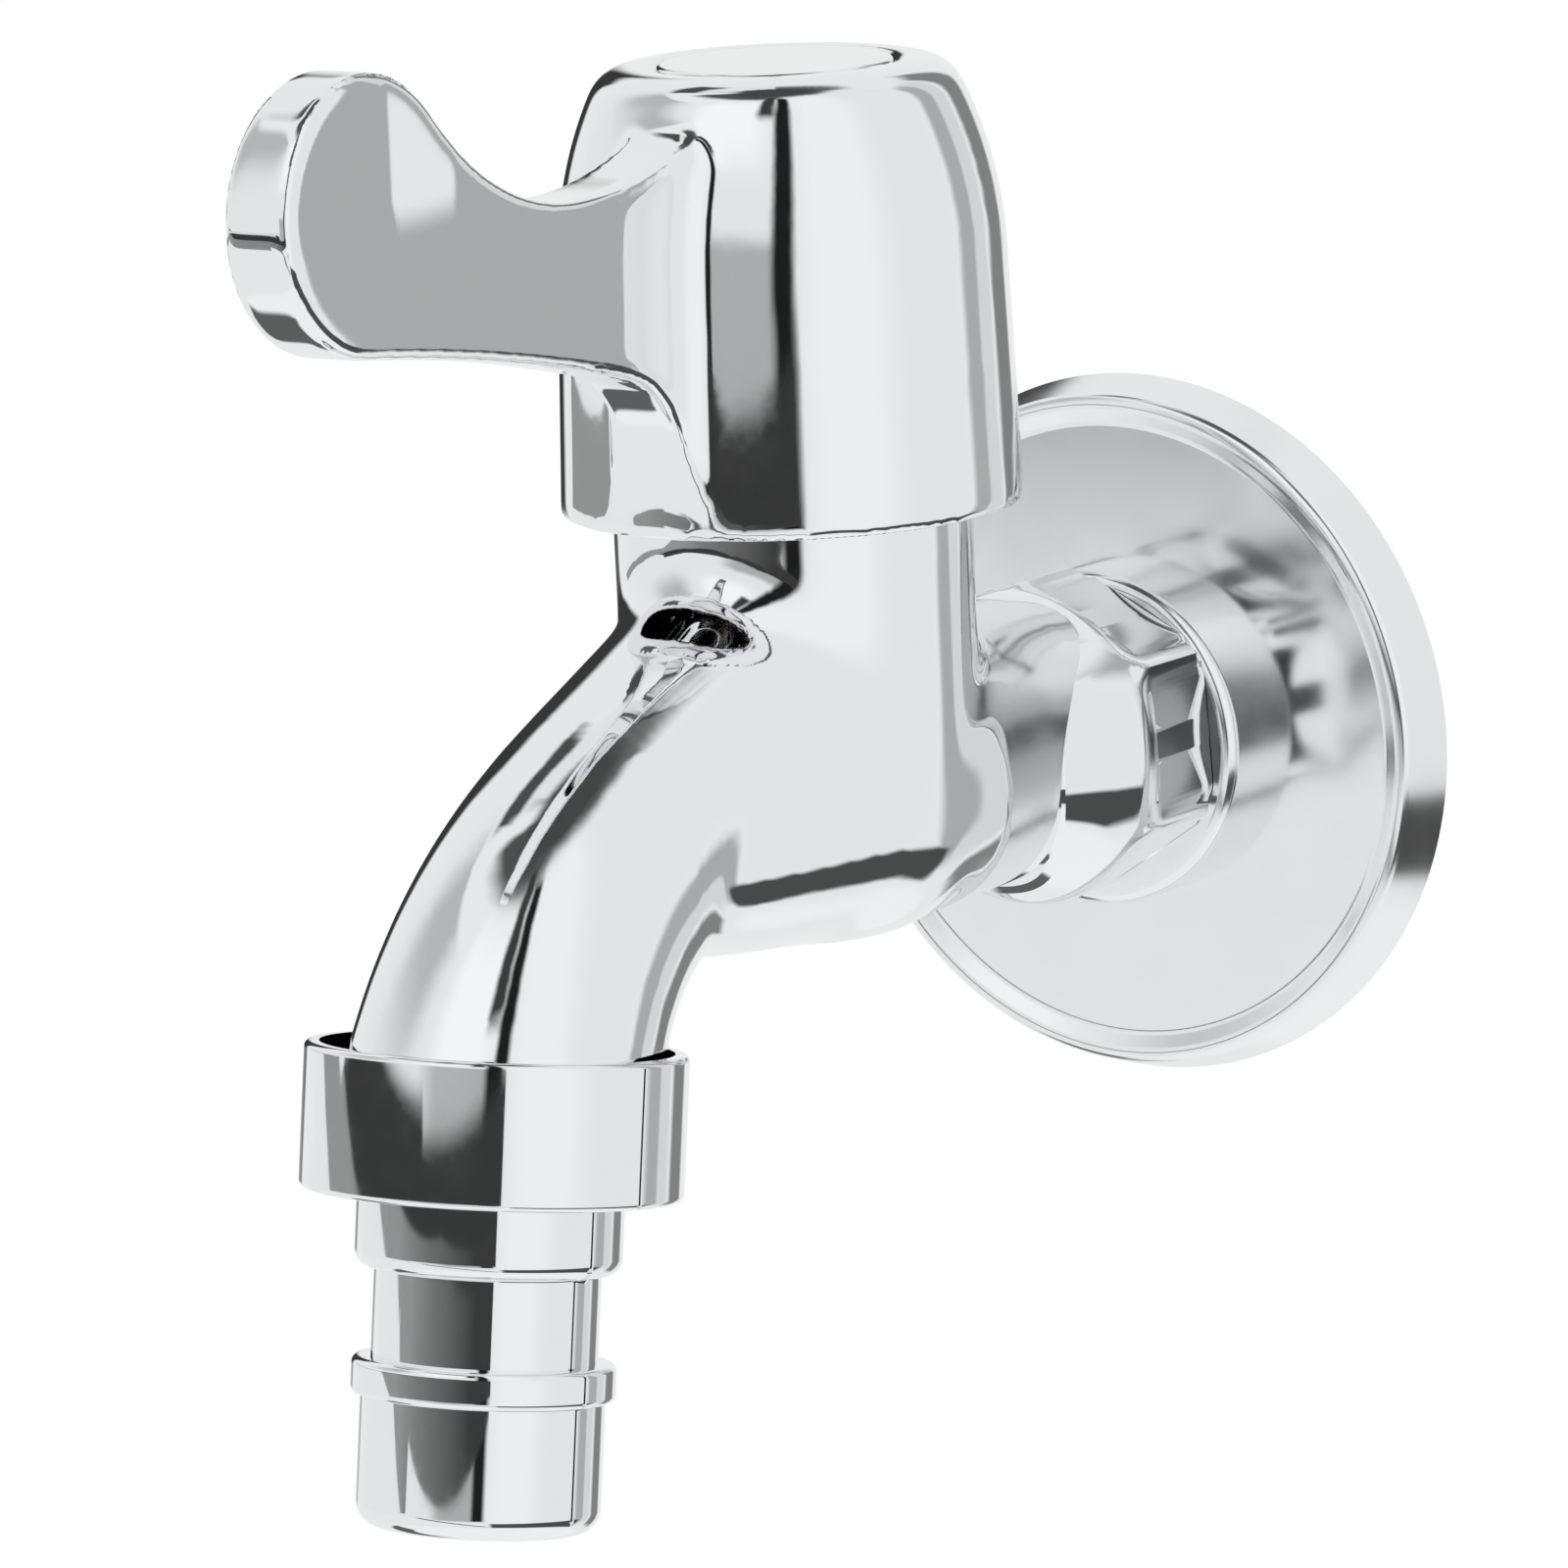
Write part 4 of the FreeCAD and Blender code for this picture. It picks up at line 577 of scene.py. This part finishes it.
class TapStudio(bpy.types.PropertyGroup):
    """The camera and the light tent."""
    azimuth: FloatProperty(name="Azimuth", description="Camera to the side of the tap's front, in degrees",
                           default=34.96)
    elevation: FloatProperty(name="Elevation", description="Camera above the horizon, in degrees",
                             default=10.55)
    roll: FloatProperty(name="Roll", description="Turn of the camera about its view, in degrees",
                        default=-2.4)
    distance: FloatProperty(name="Distance", description="Camera to the middle of the tap",
                            subtype="DISTANCE", unit="LENGTH", default=0.9)
    lens: FloatProperty(name="Lens", description="Focal length on a 36 mm sensor, in mm", default=252.84)
    floor_drop: FloatProperty(name="Floor", description="Floor below the inlet axis", subtype="DISTANCE",
                              unit="LENGTH", default=0.25)


def plate(suffix, **specks):
    """Chrome plate in the user's colour and roughness."""
    looks = bpy.context.scene.tap_looks
    return chrome_plate("chrome_plate_" + suffix, looks.plate_tint, looks.plate_gloss, **specks)


class CastBody(bpy.types.Operator):
    """Cast body with its turned inlet"""
    bl_idname = "garden_tap.cast_body"
    bl_label = "Body"

    def execute(self, context):
        looks = context.scene.tap_looks
        inlet = combine(turned_inlet(looks.ring_steps), thread_cutter(), "DIFFERENCE")
        bm = combine(casting(looks.skin_voxel), inlet, "UNION")
        make_piece("body_casting", bm, plate("on_casting"), "tap", ["tap_body"], sharp=22)
        return {"FINISHED"}


class PressFlange(bpy.types.Operator):
    """Pressed wall flange"""
    bl_idname = "garden_tap.wall_flange"
    bl_label = "Wall flange"

    def execute(self, context):
        looks = context.scene.tap_looks
        bm = turned(FLANGE_SECTION, looks.ring_steps)
        turn = Matrix.Rotation(math.radians(90), 4, "X")
        place_piece(bm, Matrix.Translation((0, 0, FLANGE_Z * MM)) @ turn)
        material = buffed_chrome("buffed_chrome_on_sheet", looks.plate_tint, looks.sheet_gloss, BUFFING_PITCH)
        make_piece("flange_cover", bm, material, "tap", ["wall_flange"], weighted=True)
        return {"FINISHED"}


class MouldNozzle(bpy.types.Operator):
    """Moulded hose nozzle with its nut ring"""
    bl_idname = "garden_tap.hose_nozzle"
    bl_label = "Hose nozzle"

    def execute(self, context):
        bm = turned(NOZZLE_SECTION, context.scene.tap_looks.ring_steps)
        for around in NOZZLE_SEAM_TURNS:
            bm = combine(bm, seam_plate(NOZZLE_SEAM, SEAM_WIDTH, around), "UNION")
        turn = Matrix.Rotation(math.radians(-NOZZLE_LEAN), 4, "X")
        place_piece(bm, Matrix.Translation((0, NOZZLE_Y * MM, NOZZLE_Z * MM)) @ turn)
        material = plate("on_nozzle", speck_size=0.12, speck_share=0.04)
        make_piece("nozzle_moulding", bm, material, "tap", ["hose_nozzle"], weighted=True)
        return {"FINISHED"}


class MouldLever(bpy.types.Operator):
    """Moulded hood with its lever"""
    bl_idname = "garden_tap.lever_handle"
    bl_label = "Lever handle"

    def execute(self, context):
        looks = context.scene.tap_looks
        bm = even_skin(merged_copy("lever_handle"), looks.skin_voxel * LEVER_GRID)
        sink_flats(bm)
        bm = combine(bm, rod(LEVER_SEAM_RADIUS, *LEVER_SEAM, segments=12), "UNION")
        make_piece("lever_moulding", bm, plate("on_lever"), "handle", ["lever_handle"])
        return {"FINISHED"}


class SetCap(bpy.types.Operator):
    """Plain index cap on the hood"""
    bl_idname = "garden_tap.index_cap"
    bl_label = "Index cap"

    def execute(self, context):
        bm = turned(CAP_SECTION, context.scene.tap_looks.ring_steps)
        place_piece(bm, Matrix.Translation((0, VALVE_Y * MM, HOOD_TOP * MM)))
        make_piece("plain_cap", bm, plate("on_cap"), "handle", ["index_cap"], weighted=True)
        return {"FINISHED"}


class FinishInside(bpy.types.Operator):
    """Finishes of the headwork and the seals"""
    bl_idname = "garden_tap.inner_pieces"
    bl_label = "Inner pieces"

    def execute(self, context):
        # Hot pressed CZ brass, turned and left bare: yellow with fine rings from the tool.
        brass = bare_metal("turned_brass", linear("#d9b36c"), 0.22, 0.25)
        # Nickel on brass: the headwork's outside, a warm grey with the same tool rings.
        nickel = bare_metal("nickel_on_brass", linear("#c9c4b8"), 0.2, 0.25)
        # Austenitic stainless steel: grey, a little dull from stamping.
        steel = bare_metal("stainless_steel", linear("#b9b9b6"), 0.25, 0.2)
        # Nitrile rubber, moulded: near black and matt.
        rubber = dull_solid("nitrile_rubber", linear("#111111"), linear("#1d1d1c"), 0.6, 0.4)
        # Alumina ceramic, fired and lapped: off white with a soft sheen.
        ceramic = dull_solid("lapped_alumina", linear("#e6e1d6"), linear("#efebe2"), 0.25, 0.5, 1.76)
        # Acetal, moulded: a milky white with a satin face.
        acetal = dull_solid("acetal_moulding", linear("#e2e1dc"), linear("#ebeae6"), 0.4, 0.6, 1.48)
        finishes = {
            "valve_bonnet": nickel, "spindle": brass,
            "spindle_circlip": steel, "handle_screw": steel, "screw_washer": steel,
            "spline_bush": acetal, "slip_washer": acetal, "seat_support_ring": acetal,
            "moving_disc": ceramic, "fixed_disc": ceramic,
            "spindle_oring_lower": rubber, "spindle_oring_upper": rubber, "seat_seal": rubber,
            "nozzle_washer": rubber, "bonnet_gasket": rubber,
        }
        for node, material in finishes.items():
            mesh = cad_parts[node].data
            mesh.materials.clear()
            mesh.materials.append(material)
        return {"FINISHED"}


# What the plate mirrors, by direction: degrees round from the camera, to its right, and degrees up. Each
# panel has its middle and half width round, its middle and half height up, its soft edges round and up, how
# far it leans round per degree up and sinks per degree round, and its level as it shows in the picture.
TENT = (
    ("ceiling", 0, 200, 90, 22, 1, 5, 0, 0, 0.43),
    ("left softbox", -70, 66, 23, 37, 4, 4, 0, 0, 0.93),
    ("left softbox, bright upper half", -34, 26, 44, 17, 12, 9, 0, 0, 1.0),
    ("left softbox, shaded end", -102, 20, 50, 26, 12, 16, 0, 0, 0.74),
    ("strip above the shaded end", -94, 32, 67, 16, 8, 1.5, 0, 0, 0.95),
    ("right softbox", 55, 45, 21, 51, 3, 4, 0, 0, 0.93),
    ("right softbox, bright edge", 32, 22, 25, 50, 12, 12, 0, 0, 0.97),
    ("shade beside the gap", -20, 22, -4, 10, 8, 4, 0, 0, 0.70),
    ("gap between the softboxes", 2.5, 5.5, 29, 41, 2.5, 2, 0.1, 0, 0.12),
    ("dark above the left softbox", -60, 45, 79, 12, 6, 4, 0, -0.1, 0.32),
    ("dark middle of the ceiling", 0, 200, 90, 14, 1, 4, 0, 0, 0.28),
    ("gap, upper part", -8, 6, 58, 17, 3, 3, 0, 0, 0.24),
    ("ceiling strip", -155, 26, 69, 6, 4, 3, 0, 0, 0.92),
    ("dark patch behind", -140, 18, 59, 5, 4, 2, 0, 0, 0.30),
    ("doorway behind", -166, 10, 5, 17, 2.5, 4, 0, 0, 0.22),
    ("grey side", 111, 7, 8, 36, 3, 6, 0, 0, 0.69),
    ("white behind the grey side", 123, 6, 8, 36, 2, 6, 0, 0, 0.86),
    ("grey back corner", 143, 10, 5, 38, 3, 4, 0, 0, 0.52),
    ("table", 0, 200, -90, 46, 1, 3, 0, 0, 0.97),
    ("table edge on the right", 61, 51, -31, 9.5, 3, 1.5, 0, 0, 0.30),
    ("edge line on the left", -27, 32, -24, 2.0, 4, 1.5, 0, 0.38, 0.35),
    ("patch on the table", -138, 27, -51, 6, 5, 1.5, 0, 0, 0.38),
)
TENT_WALL_LEVEL = 0.94


def inside(tree, value, middle, half, soft):
    """One within half of the middle, falling smoothly to nothing across the soft edge."""
    offset = add_node(tree, "ShaderNodeMath", {"operation": "SUBTRACT", 1: middle}, {0: value})
    away = add_node(tree, "ShaderNodeMath", {"operation": "ABSOLUTE"}, {0: offset.outputs[0]})
    return add_node(tree, "ShaderNodeMapRange", {
        "interpolation_type": "SMOOTHSTEP", "From Min": half - soft, "From Max": half + soft,
        "To Min": 1.0, "To Max": 0.0,
    }, {"Value": away.outputs[0]}).outputs["Result"]


def light_tent(world, towards_camera):
    """A white tent of two softboxes and a table. Only mirrors see its panels; all else sees even white."""
    world.use_nodes = True
    tree = world.node_tree
    tree.nodes.clear()
    ahead = Vector((towards_camera.x, towards_camera.y, 0)).normalized()
    right = Vector((-ahead.y, ahead.x, 0))
    direction = add_node(tree, "ShaderNodeTexCoord").outputs["Generated"]
    parts = [add_node(tree, "ShaderNodeVectorMath", {"operation": "DOT_PRODUCT", 1: axis}, {0: direction})
             for axis in (ahead, right, Vector((0, 0, 1)))]
    forward, aside, up = [p.outputs["Value"] for p in parts]
    azimuth = add_node(tree, "ShaderNodeMath", {"operation": "ARCTAN2"}, {0: aside, 1: forward})
    altitude = add_node(tree, "ShaderNodeMath", {"operation": "ARCSINE"}, {0: up})
    around, above = [
        add_node(tree, "ShaderNodeMath", {"operation": "DEGREES"}, {0: angle.outputs[0]}).outputs[0]
        for angle in (azimuth, altitude)
    ]
    light = None
    for panel in TENT:
        name, middle_around, half_around, middle_above, half_above = panel[:5]
        soft_around, soft_above, lean, climb, level = panel[5:]
        side, height = around, above
        if lean:
            rise = add_node(tree, "ShaderNodeMath", {"operation": "SUBTRACT", 1: middle_above}, {0: above})
            side = add_node(tree, "ShaderNodeMath", {"operation": "MULTIPLY_ADD", 1: -lean},
                            {0: rise.outputs[0], 2: around}).outputs[0]
        if climb:
            turn = add_node(tree, "ShaderNodeMath", {"operation": "SUBTRACT", 1: middle_around}, {0: around})
            height = add_node(tree, "ShaderNodeMath", {"operation": "MULTIPLY_ADD", 1: climb},
                              {0: turn.outputs[0], 2: above}).outputs[0]
        mask = add_node(tree, "ShaderNodeMath", {"operation": "MULTIPLY"}, {
            0: inside(tree, side, middle_around, half_around, soft_around),
            1: inside(tree, height, middle_above, half_above, soft_above),
        })
        # The first panel lies over the plain wall, and each of the others over those before it.
        below = {2: light} if light else {}
        light = add_node(tree, "ShaderNodeMix", {
            "data_type": "FLOAT", "label": name, 2: to_light(TENT_WALL_LEVEL), 3: to_light(level),
        }, {0: mask.outputs[0], **below}).outputs[0]
    path = add_node(tree, "ShaderNodeLightPath")
    seen = add_node(tree, "ShaderNodeMix", {"data_type": "FLOAT", 2: 1.0},
                    {0: path.outputs["Is Glossy Ray"], 3: light})
    background = add_node(tree, "ShaderNodeBackground", {"Color": (1, 1, 1, 1)},
                          {"Strength": seen.outputs[0]})
    add_node(tree, "ShaderNodeOutputWorld", links={"Surface": background.outputs[0]})


def camera_axes(studio):
    """Right, up and forward of the camera."""
    a, e, r = [math.radians(v) for v in (studio.azimuth, studio.elevation, studio.roll)]
    forward = -Vector((math.sin(a) * math.cos(e), -math.cos(a) * math.cos(e), math.sin(e)))
    flat_right = forward.cross(Vector((0, 0, 1))).normalized()
    flat_up = flat_right.cross(forward)
    right = flat_right * math.cos(r) + flat_up * math.sin(r)
    up = flat_up * math.cos(r) - flat_right * math.sin(r)
    return right, up, forward


# The picture's middle looks past this point of the tap by the two offsets, in metres.
AIM = Vector((0, -0.045, 0.00895))
AIM_RIGHT = 0.00486
AIM_UP = 0.00731


def pale_floor():
    """Matt white paper: even white to the camera wherever the tap doesn't shade it."""
    material, tree = new_material("matt_paper")
    at = millimetres(tree)
    fibre = add_node(tree, "ShaderNodeTexNoise", {"Scale": 1 / 2.0, "Detail": 3.0}, {"Vector": at})
    bump = add_node(tree, "ShaderNodeBump", {"Strength": 0.05, "Distance": 0.02 * MM},
                    {"Height": fibre.outputs["Fac"]})
    path = add_node(tree, "ShaderNodeLightPath")
    paper = add_node(tree, "ShaderNodeBsdfDiffuse", {"Color": (0.8, 0.8, 0.8, 1)},
                     {"Normal": bump.outputs["Normal"]})
    white = add_node(tree, "ShaderNodeBsdfDiffuse", {"Color": (1, 1, 1, 1)})
    mix = add_node(tree, "ShaderNodeMixShader", links={0: path.outputs["Is Camera Ray"], 1: paper.outputs[0],
                                                       2: white.outputs[0]})
    add_node(tree, "ShaderNodeOutputMaterial", links={"Surface": mix.outputs[0]})
    return material


# A dark card in front of the tap that only mirrors see: its place, and its corners across and up. All in
# millimetres.
CARD_Y = -425
CARD_OUTLINE = ((-600, -58), (-230, -58), (-230, -42), (290, -42), (290, 14), (-600, 14))
# Its wing on the left: its place across, and its corners back and up.
WING_X = -600
WING_OUTLINE = ((-425, -60), (-425, -15), (-330, -35), (120, -38), (120, -62))
# The step in its top edge: where it lies, the edge's height on either side, and how soft the edge is.
STEP_ACROSS = (-44, -30)
STEP_TOPS = (6, 1.5)
EDGE_SOFTNESS = (-2.5, 3.5)
# Its foot, painted paler as painted light, starts below these heights, on a line that sinks to both sides of
# a middle.
FOOT_HEIGHTS = (-11.7, -13.7)
FOOT_MIDDLE = -30
FOOT_SINK = 0.03
FOOT_ACROSS = (-336, 150)
FOOT_SHADES = (0.34, 0.05)
FELT_SHADE = 0.045


def felt_card():
    """Black felt with a step in its top edge. Its foot is painted paler to the left, as painted light where
    light would fall on it.
    """
    material, tree = new_material("black_felt")
    place = add_node(tree, "ShaderNodeSeparateXYZ", links={"Vector": millimetres(tree)})
    across, height = place.outputs["X"], place.outputs["Z"]
    top = add_node(tree, "ShaderNodeMapRange", {
        "interpolation_type": "SMOOTHSTEP", "From Min": STEP_ACROSS[0], "From Max": STEP_ACROSS[1],
        "To Min": STEP_TOPS[0], "To Max": STEP_TOPS[1],
    }, {"Value": across})
    over = add_node(tree, "ShaderNodeMath", {"operation": "SUBTRACT"}, {0: height, 1: top.outputs["Result"]})
    open_part = add_node(tree, "ShaderNodeMapRange", {
        "interpolation_type": "SMOOTHSTEP", "From Min": EDGE_SOFTNESS[0], "From Max": EDGE_SOFTNESS[1],
    }, {"Value": over.outputs[0]})
    offset = add_node(tree, "ShaderNodeMath", {"operation": "SUBTRACT", 1: FOOT_MIDDLE}, {0: across})
    aside = add_node(tree, "ShaderNodeMath", {"operation": "ABSOLUTE"}, {0: offset.outputs[0]})
    bow = add_node(tree, "ShaderNodeMath", {"operation": "MULTIPLY_ADD", 1: FOOT_SINK},
                   {0: aside.outputs[0], 2: height})
    low = add_node(tree, "ShaderNodeMapRange", {
        "interpolation_type": "SMOOTHSTEP", "From Min": FOOT_HEIGHTS[0], "From Max": FOOT_HEIGHTS[1],
    }, {"Value": bow.outputs[0]})
    # Painted light: the foot's shade is painted paler to the left, where light would fall on the card.
    painted_pale_foot = add_node(tree, "ShaderNodeMapRange", {
        "From Min": FOOT_ACROSS[0], "From Max": FOOT_ACROSS[1],
        "To Min": FOOT_SHADES[0], "To Max": FOOT_SHADES[1],
    }, {"Value": across})
    shade = add_node(tree, "ShaderNodeMix", {"data_type": "FLOAT", 2: FELT_SHADE},
                     {0: low.outputs["Result"], 3: painted_pale_foot.outputs["Result"]})
    felt = add_node(tree, "ShaderNodeBsdfDiffuse", links={"Color": shade.outputs[0]})
    clear = add_node(tree, "ShaderNodeBsdfTransparent")
    mix = add_node(tree, "ShaderNodeMixShader", links={
        0: open_part.outputs["Result"], 1: felt.outputs[0], 2: clear.outputs[0],
    })
    add_node(tree, "ShaderNodeOutputMaterial", links={"Surface": mix.outputs[0]})
    return material


def stage_piece(name, bm, material):
    """A piece of the studio, which isn't part of the tap."""
    piece = new_object(name, bm)
    piece.data.materials.append(material)
    return piece


def set_card():
    """The felt card and its wing. The camera doesn't see it, and it throws no shade."""
    bm = bmesh.new()
    bm.faces.new([bm.verts.new(Vector((x, CARD_Y, z)) * MM) for x, z in CARD_OUTLINE])
    bm.faces.new([bm.verts.new(Vector((WING_X, y, z)) * MM) for y, z in WING_OUTLINE])
    card = stage_piece("card", bm, felt_card())
    card.visible_camera = False
    card.visible_diffuse = False
    card.visible_shadow = False


class SetStudio(bpy.types.Operator):
    """Camera, light tent, floor and felt card"""
    bl_idname = "garden_tap.studio"
    bl_label = "Studio"

    def execute(self, context):
        scene = context.scene
        studio = scene.tap_studio
        scene.view_settings.view_transform = "Standard"
        right, up, forward = camera_axes(studio)
        data = bpy.data.cameras.new("camera")
        data.sensor_fit = "HORIZONTAL"
        data.sensor_width = SENSOR_WIDTH
        data.lens = studio.lens
        data.clip_start = 0.05
        camera = bpy.data.objects.new("camera", data)
        scene.collection.objects.link(camera)
        place = AIM - right * AIM_RIGHT - up * AIM_UP - forward * studio.distance
        axes = Matrix((right, up, -forward)).transposed().to_4x4()
        camera.matrix_world = Matrix.Translation(place) @ axes
        scene.camera = camera
        scene.world = bpy.data.worlds.new("light_tent")
        light_tent(scene.world, -forward)
        bm = bmesh.new()
        bmesh.ops.create_grid(bm, x_segments=8, y_segments=8, size=FLOOR_REACH,
                              matrix=Matrix.Translation((0, 0, -studio.floor_drop)))
        floor = stage_piece("floor", bm, pale_floor())
        floor.visible_glossy = False
        set_card()
        return {"FINISHED"}


class TapPanel(bpy.types.Panel):
    """Lists the steps in the order they are made"""
    bl_idname = "VIEW3D_PT_garden_tap"
    bl_label = "Garden Tap"
    bl_space_type = "VIEW_3D"
    bl_region_type = "UI"
    bl_category = "Garden Tap"

    def draw(self, context):
        for group in (context.scene.tap_looks, context.scene.tap_studio):
            for name in group.bl_rna.properties.keys():
                if name not in ("rna_type", "name"):
                    self.layout.prop(group, name)
        for step in STEPS:
            self.layout.operator(step.bl_idname)


STEPS = (CastBody, PressFlange, MouldNozzle, MouldLever, SetCap, FinishInside, SetStudio)
CLASSES = (TapLooks, TapStudio, *STEPS, TapPanel)


def register():
    for each in CLASSES:
        bpy.utils.register_class(each)
    bpy.types.Scene.tap_looks = PointerProperty(type=TapLooks)
    bpy.types.Scene.tap_studio = PointerProperty(type=TapStudio)


def unregister():
    del bpy.types.Scene.tap_looks
    del bpy.types.Scene.tap_studio
    for each in reversed(CLASSES):
        bpy.utils.unregister_class(each)


def main():
    register()
    bpy.ops.garden_tap.cast_body()
    bpy.ops.garden_tap.wall_flange()
    bpy.ops.garden_tap.hose_nozzle()
    bpy.ops.garden_tap.lever_handle()
    bpy.ops.garden_tap.index_cap()
    bpy.ops.garden_tap.inner_pieces()
    bpy.ops.garden_tap.studio()


if __name__ == "__main__":
    main()
